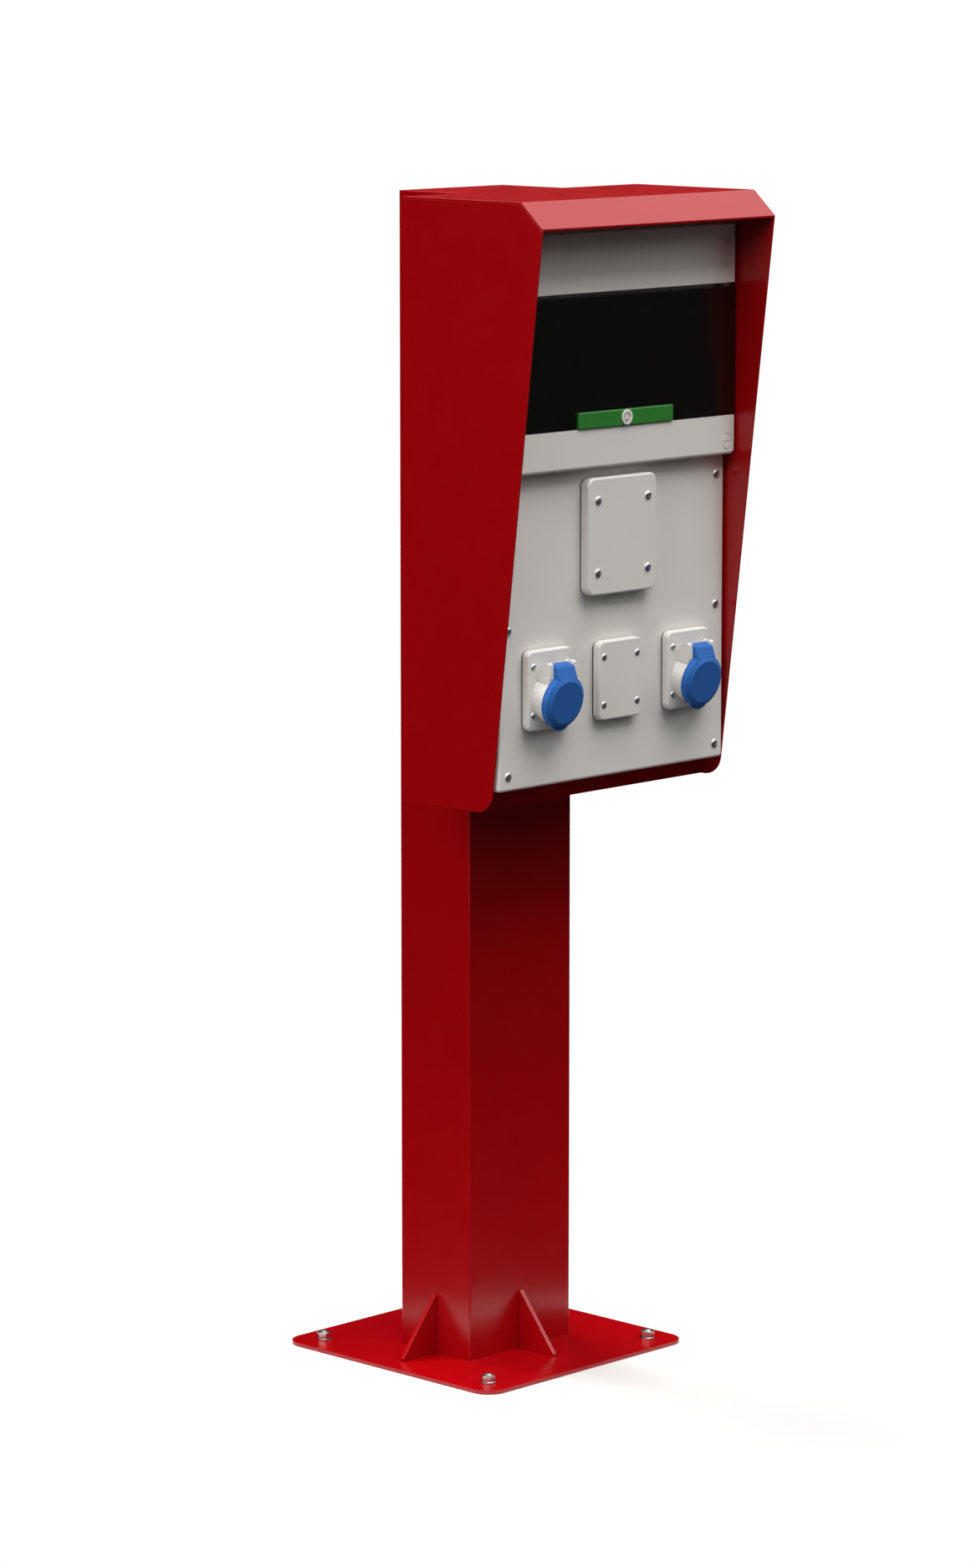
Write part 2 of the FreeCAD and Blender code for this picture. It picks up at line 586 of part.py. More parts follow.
def upper_cover():
    """Deeper moulding with a bevelled top, a sunk land and the window's aperture."""
    top = UPPER_FACE_TOP + UPPER_BEVEL
    outline = [(SKIRT_BACK, UPPER_BOTTOM), (UPPER_FACE, UPPER_BOTTOM), (UPPER_FACE, UPPER_FACE_TOP),
               (UPPER_FACE + UPPER_BEVEL, top), (SKIRT_BACK, top)]
    shell = side_prism(outline, -UPPER_HALF, UPPER_HALF)
    shell = rounded(shell, 5.5, lambda e: runs_along(e, "y") and lies_at(e, "z", UPPER_BOTTOM))
    shell = rounded(shell, 3.5, lambda e: lies_at(e, "y", UPPER_FACE) and not lies_at(e, "z", UPPER_FACE_TOP)
                    and min(v.Point.z for v in e.Vertexes) < UPPER_BOTTOM + 7
                    and not runs_along(e, "z"))
    inside = UPPER_HALF - COVER_WALL
    wall = COVER_WALL
    skirt = box(-inside, inside, LAND_BACK, SKIRT_BACK + 1, UPPER_BOTTOM + wall, TRAY_TOP + 3)
    seat = 157.0
    low_hollow = box(-seat, seat, UPPER_INSIDE, LAND_BACK + 1, UPPER_BOTTOM + wall + 4, WINDOW_BOTTOM - wall)
    high_hollow = box(-seat, seat, UPPER_INSIDE, LAND_BACK + 1, WINDOW_TOP + wall, UPPER_FACE_TOP - 1)
    bay = box(-UPPER_HALF - 1, UPPER_HALF + 1, UPPER_FACE - 1, LAND_FACE, WINDOW_BOTTOM, WINDOW_TOP)
    aperture = box(-APERTURE_HALF, APERTURE_HALF, LAND_FACE - 1, LAND_BACK + 1,
                   APERTURE_BOTTOM, APERTURE_TOP)
    keyway = box(-12, 12, LAND_FACE - 1, LAND_BACK + 1, 978, APERTURE_BOTTOM + 1)
    notch = box(-TRAY_HALF - 2, TRAY_HALF + 2, SKIRT_AT_MULLION, SKIRT_BACK + 1,
                UPPER_BOTTOM - 1, UPPER_BOTTOM + wall + 0.5)
    shell = cut(shell, [skirt, low_hollow, high_hollow, bay, aperture, keyway, notch])
    for x, z in lock_points():
        boss = front_rod(LOCK_RADIUS + LOCK_GAP + 2.2, x, z, UPPER_FACE + 1, LAND_BACK)
        shell = fused([shell, boss.common(box(-inside, inside, -200, -150, UPPER_BOTTOM + 2, 1175))])
        shell = cut(shell, [front_rod(LOCK_RADIUS + LOCK_GAP, x, z, UPPER_FACE - 1, UPPER_FACE + 2.5),
                            front_rod(3.05, x, z, UPPER_FACE, LAND_BACK + 1)])
    along = Vector(1, 0, 0)
    groove = rod(LUG_RADIUS, -UPPER_HALF - 1, HINGE_Y, HINGE_Z, along, 2 * UPPER_HALF + 2)
    above = box(-UPPER_HALF - 1, UPPER_HALF + 1, LAND_FACE - 1, LAND_BACK - 0.8, HINGE_Z, WINDOW_TOP)
    shell = cut(shell, [groove, above])
    lugs = []
    for x0, x1, h0, h1 in ((-156.0, -150.4, -150.2, -141.6), (150.4, 156.0, 141.6, 150.2)):
        shell = shell.cut(rod(HUB_RADIUS + 1, h0, HINGE_Y, HINGE_Z, along, h1 - h0))
        lugs.append(rod(LUG_RADIUS, x0, HINGE_Y, HINGE_Z, along, x1 - x0))
        lugs.append(box(x0, x1, HINGE_Y, LAND_BACK, HINGE_Z - LUG_RADIUS, HINGE_Z + LUG_RADIUS))
    bore = rod(HINGE_PIN, -160, HINGE_Y, HINGE_Z, along, 320)
    return fused([shell] + lugs).cut(bore)


def cover_lock(x, z):
    """Quarter-turn lock: slotted disc, shaft and a cam that reaches outwards."""
    disc = front_rod(LOCK_RADIUS, x, z, UPPER_FACE, UPPER_FACE + 2.3)
    disc = rounded(disc, 0.5, lambda e: lies_at(e, "y", UPPER_FACE))
    shaft = front_rod(3.0, x, z, UPPER_FACE + 2, -161)
    neck = front_rod(2.5, x, z, -161.5, -157.5)
    side = math.copysign(1, x)
    x0, x1 = sorted((x, x + side * 2.7))
    cam = fused([box(x0, x1, -160.5, -157.5, z - 2.5, z + 2.5),
                 front_rod(2.5, x + side * 2.7, z, -160.5, -157.5)])
    slot = box(x - 4.3, x + 4.3, UPPER_FACE - 1, UPPER_FACE + 0.9, z - 0.75, z + 0.75)
    return fused([disc, shaft, neck, cam]).cut(slot)


# Window

def window_flap():
    """Smoked plate over the full width, with hinge hubs behind its top edge."""
    back = FLAP_FACE + FLAP_THICK
    outline = [(FLAP_FACE, FLAP_BOTTOM), (FLAP_FACE, FLAP_TOP - 1.2), (FLAP_FACE + 1.2, FLAP_TOP),
               (back, FLAP_TOP), (back, FLAP_BOTTOM)]
    plate = side_prism(outline, -UPPER_HALF, UPPER_HALF)
    hubs = []
    for side in (-1, 1):
        x0, x1 = sorted((side * 142.0, side * 150.0))
        hubs.append(rod(HUB_RADIUS, x0, HINGE_Y, HINGE_Z, Vector(1, 0, 0), x1 - x0))
        lug0, lug1 = sorted((side * 150.0, side * 156.4))
        plate = plate.cut(box(lug0, lug1, back - 1.6, back + 1, HINGE_Z - 3.5, HINGE_Z + 5))
    plate = fused([plate] + hubs)
    bore = rod(HINGE_PIN + HINGE_PLAY, -160, HINGE_Y, HINGE_Z, Vector(1, 0, 0), 320)
    key = front_rod(KEY_BODY + 0.1, 0, KEY_Z, FLAP_FACE - 1, back + 1)
    return cut(plate, [bore, key])


def window_pins():
    """Two short steel pins that the window turns on."""
    return [rod(HINGE_PIN, x, HINGE_Y, HINGE_Z, Vector(1, 0, 0), 13.5) for x in (-156.0, 142.5)]


def latch_bar():
    """Green bar along the window's lower edge, with a soft outer edge."""
    front = FLAP_FACE - BAR_PROUD
    bar = box(-BAR_HALF, BAR_HALF, front, FLAP_FACE, FLAP_BOTTOM, BAR_TOP)
    bar = rounded(bar, 1.0, lambda e: lies_at(e, "y", front))
    return bar.cut(front_rod(KEY_BODY + 0.1, 0, KEY_Z, front - 1, FLAP_FACE + 1))


def lock_cylinder():
    """Turning lock with a raised triangle in a cup, and its cam behind the window."""
    front = FLAP_FACE - BAR_PROUD
    disc = front_rod(KEY_DISC, 0, KEY_Z, front - 1.2, front - 0.1)
    disc = rounded(disc, 0.5, lambda e: lies_at(e, "y", front - 1.2))
    cup = front_rod(6.0, 0, KEY_Z, front - 2, front + 1.8)
    body = front_rod(KEY_BODY + 1.2, 0, KEY_Z, front - 0.2, front - 0.1)
    core = front_rod(KEY_BODY, 0, KEY_Z, front - 0.5, -184.2)
    cam = fused([box(-5, 5, -184.2, -182.2, KEY_Z - 5, KEY_Z + 13),
                 front_rod(5, 0, KEY_Z + 13, -184.2, -182.2)])
    corners = []
    for k in range(3):
        a = math.radians(90 + 120 * k)
        corners.append((4.6 * math.cos(a), KEY_Z + 4.6 * math.sin(a)))
    triangle = front_prism(corners, front - 0.9, front + 1.9)
    shell = fused([disc, body, core, cam]).cut(cup.common(front_rod(4.9, 0, KEY_Z, front - 2, front + 1.8)))
    return fused([shell, triangle])


# Blank plates and gaskets

def outlet_gasket(half_x, zs, corner, hole):
    """Black gasket of an outlet's outline, with one hole."""
    y0, y1 = LOWER_FACE - OUTLET_GASKET, LOWER_FACE
    pad = box(-half_x, half_x, y0, y1, zs[0], zs[1])
    pad = rounded(pad, corner, lambda e: runs_along(e, "y"))
    return pad.cut(hole)


def large_blank():
    """Hollow blanking plate with its gasket and four screws."""
    back = LOWER_FACE - OUTLET_GASKET
    plate = moulded_plate(LARGE_HALF_X, LARGE_Z, LARGE_FACE, back, LARGE_CORNER, PLATE_ROUND)
    wall = 3.0
    hollow = box(-LARGE_HALF_X + wall, LARGE_HALF_X - wall, LARGE_FACE + wall, back + 1,
                 LARGE_Z[0] + wall, LARGE_Z[1] - wall)
    hollow = rounded(hollow, 6, lambda e: runs_along(e, "y"))
    points = outlet_screw_points(0, LARGE_Z, LARGE_SCREWS)
    posts = [front_rod(6.0, x, z, LARGE_FACE + 2, back) for x, z in points]
    holes = [front_rod(2.2, x, z, LARGE_FACE - 1, back + 1) for x, z in points]
    plate = cut(fused([plate.cut(hollow)] + posts), holes)
    inner = fused([box(-39, 39, back - 1, LOWER_FACE + 1, LARGE_Z[0] + 33, LARGE_Z[1] - 33),
                   box(-27, 27, back - 1, LOWER_FACE + 1, LARGE_Z[0] + 13, LARGE_Z[1] - 13)])
    gasket = outlet_gasket(LARGE_HALF_X - 0.5, (LARGE_Z[0] + 0.5, LARGE_Z[1] - 0.5), LARGE_CORNER, inner)
    gasket = cut(gasket, [front_rod(2.2, x, z, back - 1, LOWER_FACE + 1) for x, z in points])
    screws = [pan_screw(COVER_HEAD, 1.7, x, z, LARGE_FACE, LOWER_INSIDE + 8) for x, z in points]
    return plate, gasket, screws


def small_blank():
    """Small hollow blanking plate and its gasket."""
    back = LOWER_FACE - OUTLET_GASKET
    plate = moulded_plate(SMALL_HALF_X, SMALL_Z, SMALL_FACE, back, SMALL_CORNER, PLATE_ROUND)
    hollow = front_rod(20, 0, (SMALL_Z[0] + SMALL_Z[1]) / 2, SMALL_FACE + 3, back + 1)
    points = outlet_screw_points(0, SMALL_Z, SMALL_SCREWS)
    holes = [front_rod(1.8, x, z, SMALL_FACE - 1, back + 1) for x, z in points]
    middle = (SMALL_Z[0] + SMALL_Z[1]) / 2
    gasket = outlet_gasket(SMALL_HALF_X - 0.5, (SMALL_Z[0] + 0.5, SMALL_Z[1] - 0.5), SMALL_CORNER,
                           front_rod(REAR_RADIUS + 0.5, 0, middle, back - 1, LOWER_FACE + 1))
    gasket = cut(gasket, [front_rod(1.8, x, z, back - 1, LOWER_FACE + 1) for x, z in points])
    return cut(plate, [hollow] + holes), gasket


# Sockets. Each piece is made on an upright axis and laid over by to_socket:
# its Z is the distance out of the flange, and its Y points to the socket's top.

def to_socket(shape, x0):
    """Moves a piece from its own axis to a socket's place and tilt."""
    shape = shape.copy()
    shape.rotate(Vector(0, 0, 0), Vector(1, 0, 0), 90 + SOCKET_TILT)
    shape.translate(Vector(x0, SOCKET_ROOT_Y, SOCKET_ROOT_Z))
    return shape


def disc_at(radius, s0, s1):
    """A round disc on the socket's own axis."""
    return Part.makeCylinder(radius, s1 - s0, Vector(0, 0, s0))


def ear_profile():
    """Side outline of a hinge ear: a steep front, arcs over its top, straight into the barrel."""
    s, r = LID_PIVOT_S, LID_PIVOT_R
    low = Vector(0, 24.0, BARREL_END - 0.2)
    front = Vector(0, r + 4.0, s + 4.7)
    shoulder = Vector(0, r + 5.6, s + 3.9)
    crown = Vector(0, r + 6.3, s + 2.4)
    slope = Vector(0, r + 3.4, s - 4.6)
    rear = Vector(0, r - 4.5, s - 7.5)
    base = Vector(0, 18.0, s - 9.0)
    foot = Vector(0, 18.0, BARREL_END - 0.2)
    edges = [Part.makeLine(low, front), Part.Arc(front, shoulder, crown).toShape(),
             Part.Arc(crown, slope, rear).toShape(), Part.makeLine(rear, base),
             Part.makeLine(base, foot), Part.makeLine(foot, low)]
    return Part.Face(Part.Wire(edges))


def socket_housing():
    """Barrel, mouth and ears on the tilted axis, without the flange."""
    solids = [disc_at(BARREL_RADIUS, -6, BARREL_END), disc_at(MOUTH_RADIUS, 0, MOUTH_END),
              disc_at(REAR_RADIUS, REAR_END, 0)]
    for x0 in (-EAR_OUTER, EAR_INNER):
        ear = ear_profile().extrude(Vector(EAR_OUTER - EAR_INNER, 0, 0))
        ear.translate(Vector(x0, 0, 0))
        solids.append(ear)
    return fused(solids)


def housing_with_flange(x0):
    """A whole socket housing at its place."""
    back = LOWER_FACE - OUTLET_GASKET
    flange = moulded_plate(SMALL_HALF_X, SMALL_Z, SMALL_FACE, back, SMALL_CORNER, PLATE_ROUND)
    flange.translate(Vector(x0, 0, 0))
    body = to_socket(socket_housing(), x0)
    behind = box(x0 - 40, x0 + 40, LOWER_FACE - OUTLET_GASKET, -120, 650, 780)
    wide = to_socket(disc_at(BARREL_RADIUS + 1, -12, 2), x0).common(behind)
    body = body.cut(wide.cut(to_socket(disc_at(REAR_RADIUS, REAR_END, 5), x0)))
    bore = to_socket(disc_at(PLUG_BORE, REAR_END - 1, MOUTH_END + 1), x0)
    pin = Part.makeCylinder(LID_PIN, 2 * EAR_OUTER - 2, Vector(-EAR_OUTER + 1, LID_PIVOT_R, LID_PIVOT_S),
                            Vector(1, 0, 0))
    key = Part.makeBox(5, 3, 32, Vector(-2.5, -PLUG_BORE - 1.4, CARRIER_FRONT))
    points = outlet_screw_points(x0, SMALL_Z, SMALL_SCREWS)
    holes = [front_rod(1.8, x, z, SMALL_FACE - 1, back + 1) for x, z in points]
    return cut(fused([flange, body]), [bore, to_socket(pin, x0), to_socket(key, x0)] + holes)


def socket_gasket(x0):
    """Black gasket under a socket's flange, with the hole for its rear body."""
    hole = front_rod(REAR_RADIUS + 2.5, 0, (SMALL_Z[0] + SMALL_Z[1]) / 2 - 4,
                     LOWER_FACE - OUTLET_GASKET - 1, LOWER_FACE + 1)
    pad = outlet_gasket(SMALL_HALF_X - 0.5, (SMALL_Z[0] + 0.5, SMALL_Z[1] - 0.5), SMALL_CORNER, hole)
    pad.translate(Vector(x0, 0, 0))
    points = outlet_screw_points(x0, SMALL_Z, SMALL_SCREWS)
    return cut(pad, [front_rod(1.8, x, z, LOWER_FACE - 5, LOWER_FACE + 1) for x, z in points])


def contact_points():
    """Earth at the bottom, the two poles above it."""
    spots = []
    for k in range(3):
        a = math.radians(-90 + 120 * k)
        spots.append((CONTACT_CIRCLE * math.cos(a), CONTACT_CIRCLE * math.sin(a)))
    return spots


def contact_holes():
    """The three holes through both halves of a socket's insert."""
    return [Part.makeCylinder(CONTACT_OUTER, 60, Vector(u, v, -40)) for u, v in contact_points()]


def contact_carrier():
    """Rear half of the insulating insert, which fills the socket's bore."""
    return cut(disc_at(PLUG_BORE - 0.05, CARRIER_BACK, CARRIER_FRONT), contact_holes())


def contact_core():
    """Front half of the insert, the round core that a plug's shroud goes round."""
    return cut(disc_at(CORE_RADIUS, CARRIER_FRONT, CORE_END), contact_holes())


def contact_sleeves():
    """Three brass sleeves with their bores."""
    length = CORE_END - 1 - CARRIER_BACK + 6
    sleeves = []
    for u, v in contact_points():
        tube = Part.makeCylinder(CONTACT_OUTER, length, Vector(u, v, CARRIER_BACK - 6))
        bore = Part.makeCylinder(CONTACT_BORE, 30, Vector(u, v, CORE_END - 25))
        sleeves.append(tube.cut(bore))
    return sleeves


def lid_arm():
    """The strap from the lid's rim to the hub round the hinge pin, with an arched top."""
    s, r = LID_PIVOT_S, LID_PIVOT_R
    top = r + ARM_HUB
    front_top = (12.6, top - 0.7)
    outline = [(LID_FRONT, 23.0), (LID_FRONT, 24.4), (14.4, 34.2), front_top, (s + 1.0, top), (s, top),
               (s, r - ARM_HUB), (s + 4.5, r - 4.0), (LID_BACK + 0.2, 26.4), (LID_BACK + 0.2, 23.0)]
    corners = [Vector(-ARM_HALF, y, z) for z, y in outline]
    strap = Part.Face(Part.makePolygon(corners + corners[:1])).extrude(Vector(2 * ARM_HALF, 0, 0))
    pivot = Part.makeCylinder(ARM_HUB, 2 * ARM_HALF, Vector(-ARM_HALF, r, s), Vector(1, 0, 0))
    fall = math.degrees(math.atan2(top - front_top[1], front_top[0] - s - 1))
    crown = Part.makeCylinder(ARM_CROWN, 80, Vector(0, 0, -40))
    crown.rotate(Vector(0, 0, 0), Vector(1, 0, 0), fall)
    crown.translate(Vector(0, top - ARM_CROWN, s + 1))
    return fused([strap, pivot]).common(crown)


def socket_lid():
    """Blue lid: skirt, chamfered disc, thumb tab and hinge arm."""
    skirt = Part.makeCone(LID_SKIRT, LID_RIM, LID_FRONT - LID_BACK, Vector(0, 0, LID_BACK))
    dome = Part.makeCone(LID_RIM - 0.4, LID_DISC, LID_DISC_FRONT - LID_FRONT, Vector(0, 0, LID_FRONT))
    tab_back = LID_BACK + 0.6
    tab = Part.makeCylinder(TAB_RADIUS, TAB_FRONT - tab_back, Vector(0, TAB_RADIUS - TAB_REACH, tab_back))
    body = fused([skirt, dome, tab, lid_arm()])
    hollow = disc_at(LID_INNER, LID_BACK - 5, MOUTH_END + 1.2)
    spring = Part.makeCylinder(3.3, 8, Vector(-4, LID_PIVOT_R, LID_PIVOT_S), Vector(1, 0, 0))
    pocket = Part.makeBox(8, 6, 7, Vector(-4, LID_PIVOT_R - 6, LID_PIVOT_S - 5.5))
    pin = Part.makeCylinder(LID_PIN + HINGE_PLAY, 60, Vector(-30, LID_PIVOT_R, LID_PIVOT_S), Vector(1, 0, 0))
    keep = Part.makeBox(60, 30, 12, Vector(-30, LID_INNER + 0.9, LID_BACK - 12))
    return cut(body, [hollow.cut(keep), spring, pocket, pin])


def lid_seal():
    """Flat ring in the lid that meets the socket's mouth."""
    return disc_at(LID_INNER - 0.1, MOUTH_END + 0.2, MOUTH_END + 1.2).cut(disc_at(19.0, 0, 40))


def lid_pin():
    """Steel pin through both ears."""
    return Part.makeCylinder(LID_PIN, 2 * EAR_OUTER - 2, Vector(-EAR_OUTER + 1, LID_PIVOT_R, LID_PIVOT_S),
                             Vector(1, 0, 0))


def lid_spring():
    """The closing spring's small sleeve on the pin."""
    sleeve = Part.makeCylinder(2.7, 6.4, Vector(-3.2, LID_PIVOT_R, LID_PIVOT_S), Vector(1, 0, 0))
    return sleeve.cut(Part.makeCylinder(1.8, 10, Vector(-5, LID_PIVOT_R, LID_PIVOT_S), Vector(1, 0, 0)))


# Switchgear

def device_body(x0, modules):
    """Body of a device on the rail: shoulders, nose and the rail's notch."""
    x1 = x0 + modules * MODULE - 0.3
    z = RAIL_Z
    half, nose = 42.0, 22.5
    lower = [(DEVICE_BACK, z - half), (DEVICE_SHOULDER, z - half), (DEVICE_SHOULDER, z - nose),
             (DEVICE_NOSE, z - nose)]
    upper = [(y, 2 * z - height) for y, height in reversed(lower)]
    body = side_prism(lower + upper, x0, x1)
    notch = box(x0 - 1, x1 + 1, RAIL_LIP - 0.05, DEVICE_BACK + 1, z - 17.8, z + 17.8)
    return body.cut(notch)


def toggle_slot(x0, x1):
    """The slot in a device's nose that its toggle swings in."""
    return rod(7.0, x0, DEVICE_NOSE + 2.5, RAIL_Z, Vector(1, 0, 0), x1 - x0)


def toggle(x0, x1):
    """A rocker drum with a lever, leaning up in the on position."""
    y = DEVICE_NOSE + 2.5
    drum = rod(TOGGLE_DRUM, x0, y, RAIL_Z, Vector(1, 0, 0), x1 - x0)
    lever = box(x0, x1, y - TOGGLE_REACH, y, RAIL_Z - TOGGLE_HALF, RAIL_Z + TOGGLE_HALF)
    lever.rotate(Vector(0, y, RAIL_Z), Vector(1, 0, 0), -TOGGLE_LEAN)
    return fused([drum, lever])


def din_rail():
    """Top-hat rail, 35 by 7.5."""
    z, lip, back = RAIL_Z, RAIL_LIP, RAIL_LIP + RAIL_DEPTH
    outline = [(lip, z - 17.5), (lip, z - 12.5), (back - 1, z - 12.5), (back - 1, z + 12.5), (lip, z + 12.5),
               (lip, z + 17.5), (lip + 1, z + 17.5), (lip + 1, z + 13.5), (back, z + 13.5), (back, z - 13.5),
               (lip + 1, z - 13.5), (lip + 1, z - 17.5)]
    rail = side_prism(outline, -RAIL_HALF, RAIL_HALF)
    return cut(rail, [front_rod(2.3, x, z, lip, back + 1) for x in (-60.0, 60.0)])


def device_panel():
    """Touch guard with a slot for the devices' noses."""
    panel = box(-150, 150, GUARD_FACE, GUARD_FACE + 2.5, 948, 1150)
    slot = box(-35.6, 35.6, GUARD_FACE - 1, GUARD_FACE + 4, RAIL_Z - 23, RAIL_Z + 23)
    clear = [front_rod(4.5, x, z, GUARD_FACE - 1, GUARD_FACE + 4) for x, z in lock_points()]
    holes = [front_rod(1.8, x, z, GUARD_FACE - 1, GUARD_FACE + 4) for x, z in guard_post_points()]
    return cut(panel, [slot] + clear + holes)


def terminal_bars():
    """Earth and neutral bars on their rail, below the devices."""
    bars = []
    for x0 in (-70.0, 10.0):
        bar = box(x0, x0 + 60, -92, -82, 900, 912)
        screws = [front_rod(2.2, x0 + 6 + 8 * k, 906, -94, -88) for k in range(7)]
        ways = [rod(2.0, x0 + 6 + 8 * k, -86, 899, Vector(0, 0, 1), 14) for k in range(7)]
        feet = [box(x0 + u, x0 + u + 6, -83, TROUGH_BACK - FLOOR_THICK, 901, 911) for u in (0, 54)]
        bars.append(cut(fused([bar] + screws + feet), ways))
    return bars


os.makedirs("parts", exist_ok=True)

export("base_plate", [base_plate()])
anchor_studs, anchor_washers, anchor_nuts = anchors()
hood_bolts, hood_washers, weld_nuts = hood_fixings()
export("anchor_studs", anchor_studs)
export("m8_washers", anchor_washers + hood_washers)
export("m8_nuts", anchor_nuts + weld_nuts)
export("column", [column()])
export("column_cap", [column_outline(0, COLUMN_TOP - CAP_THICK, COLUMN_TOP)])
for place, turn in (("front", 0), ("left", -90), ("back", 180), ("right", 90)):
    export("gusset_" + place, [gusset(turn)])

export("hood_roof", [hood_roof()])
export("hood_left_panel", [hood_side(-HOOD_HALF)])
export("hood_right_panel", [hood_side(HOOD_HALF - SHEET)])
export("hood_back_panel", [hood_back()])
export("hood_bolts", hood_bolts)
export("mounting_plate", [mounting_plate()])
export("cable_grommet", [cable_grommet()])

enclosure_front, enclosure_rear = enclosure()
export("enclosure_base", [enclosure_front])
export("enclosure_trough", [enclosure_rear])
export("flange_gasket", [flange_gasket()])
export("cable_gland", [cable_gland()])
export("cover_seals", cover_seals())
export("enclosure_screws", [pan_screw(COVER_HEAD, 1.95, x, z, FLOOR_FACE, MOUNT_FACE + 6)
                            for x, z in tray_screw_points()])

export("lower_cover", [lower_cover()])
export("cover_screws", [pan_screw(COVER_HEAD, 1.7, x, z, LOWER_FACE, FLOOR_FACE - 4)
                        for x, z in cover_screw_points()])
export("upper_cover", [upper_cover()])
for number, (x, z) in enumerate(lock_points(), 1):
    export("cover_lock_%d" % number, [cover_lock(x, z)])

export("window_flap", [window_flap()])
export("window_hinge_pins", window_pins())
export("latch_bar", [latch_bar()])
export("lock_cylinder", [lock_cylinder()])

large_plate, large_gasket, large_screws = large_blank()
export("large_blank_plate", [large_plate])
export("large_blank_gasket", [large_gasket])
export("large_blank_screws", large_screws)
small_plate, small_gasket = small_blank()
export("small_blank_plate", [small_plate])
export("flange_screws", [pan_screw(SMALL_HEAD, 1.7, x, z, SMALL_FACE, LOWER_INSIDE + 8)
                         for x, z in flange_screw_points()])

for side, x0 in zip(("left", "right"), SOCKET_XS):
    export(side + "_socket_housing", [housing_with_flange(x0)])
    export(side + "_socket_lid", [to_socket(socket_lid(), x0)])
    export(side + "_lid_seal", [to_socket(lid_seal(), x0)])
export("outlet_gaskets", [small_gasket] + [socket_gasket(x0) for x0 in SOCKET_XS])
export("contact_carriers", [to_socket(contact_carrier(), x0) for x0 in SOCKET_XS])
export("contact_cores", [to_socket(contact_core(), x0) for x0 in SOCKET_XS])
export("contact_sleeves", [to_socket(s, x0) for x0 in SOCKET_XS for s in contact_sleeves()])
export("lid_pins", [to_socket(lid_pin(), x0) for x0 in SOCKET_XS])
export("lid_springs", [to_socket(lid_spring(), x0) for x0 in SOCKET_XS])

export("din_rail", [din_rail()])
export("device_panel", [device_panel()])
export("terminal_bars", terminal_bars())
rcd_x = -2 * MODULE
button_way = front_rod(3.6, rcd_x + 27, RAIL_Z + 8, DEVICE_NOSE - 1, DEVICE_NOSE + 6)
export("rcd_body", [cut(device_body(rcd_x, 2), [toggle_slot(rcd_x + 4, rcd_x + 20), button_way])])
export("rcd_toggle", [toggle(rcd_x + 4.3, rcd_x + 19.7)])
export("rcd_test_button", [front_rod(3.4, rcd_x + 27, RAIL_Z + 8, DEVICE_NOSE - 2, DEVICE_NOSE + 4)])
breaker_xs = (0.0, MODULE)
export("breaker_bodies", [device_body(x0, 1).cut(toggle_slot(x0 + 4, x0 + 13.2)) for x0 in breaker_xs])
for number, x0 in enumerate(breaker_xs, 1):
    export("breaker_%d_toggle" % number, [toggle(x0 + 4.3, x0 + 12.9)])
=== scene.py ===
import json
import math

import bmesh
import bpy
from mathutils import Matrix, Vector


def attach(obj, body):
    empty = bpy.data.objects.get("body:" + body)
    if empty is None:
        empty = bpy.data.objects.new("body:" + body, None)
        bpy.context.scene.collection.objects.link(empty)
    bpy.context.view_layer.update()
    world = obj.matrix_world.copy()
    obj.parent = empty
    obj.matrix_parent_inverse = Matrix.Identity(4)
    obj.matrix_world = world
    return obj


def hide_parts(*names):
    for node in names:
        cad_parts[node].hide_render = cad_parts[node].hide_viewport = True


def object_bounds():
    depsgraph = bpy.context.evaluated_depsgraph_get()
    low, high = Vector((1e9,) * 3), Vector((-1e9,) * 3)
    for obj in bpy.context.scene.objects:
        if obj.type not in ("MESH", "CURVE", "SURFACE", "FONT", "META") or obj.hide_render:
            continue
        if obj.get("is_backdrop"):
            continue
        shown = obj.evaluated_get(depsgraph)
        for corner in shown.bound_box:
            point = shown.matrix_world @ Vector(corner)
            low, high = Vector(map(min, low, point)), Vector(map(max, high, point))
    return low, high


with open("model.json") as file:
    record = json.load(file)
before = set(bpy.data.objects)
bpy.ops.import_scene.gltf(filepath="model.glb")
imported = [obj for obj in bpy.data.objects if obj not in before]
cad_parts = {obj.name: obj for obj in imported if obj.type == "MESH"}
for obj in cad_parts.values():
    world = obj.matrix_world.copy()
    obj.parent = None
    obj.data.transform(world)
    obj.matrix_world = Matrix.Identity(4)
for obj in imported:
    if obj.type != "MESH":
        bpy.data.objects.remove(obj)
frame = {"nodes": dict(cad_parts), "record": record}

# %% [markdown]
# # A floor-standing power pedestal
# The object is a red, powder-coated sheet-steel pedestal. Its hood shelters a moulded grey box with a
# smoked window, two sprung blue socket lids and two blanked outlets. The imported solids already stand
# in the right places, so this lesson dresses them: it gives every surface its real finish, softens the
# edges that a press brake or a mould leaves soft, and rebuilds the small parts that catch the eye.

scene = bpy.context.scene
nodes = frame["nodes"]
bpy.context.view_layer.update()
MM = 0.001

# %% [markdown]
# ## The camera
# The photograph was taken from the front left, a little above the hood, with a long lens. A long lens
# keeps the column's edges nearly parallel. The camera looks at the column's axis at 700 mm, and is then
# moved sideways and down by the small amounts that put the object where it is in the photograph.

# %% Camera
AZIMUTH = math.radians(-45.889)
ELEVATION = math.radians(9.269)
ROLL = math.radians(0.011)
LENS_MM = 197.46
SENSOR_MM = 36.0
DISTANCE = 5.507717
SIDESTEP = 0.002278
RISE = -0.105311
AIM = Vector((0, 0, 0.7))

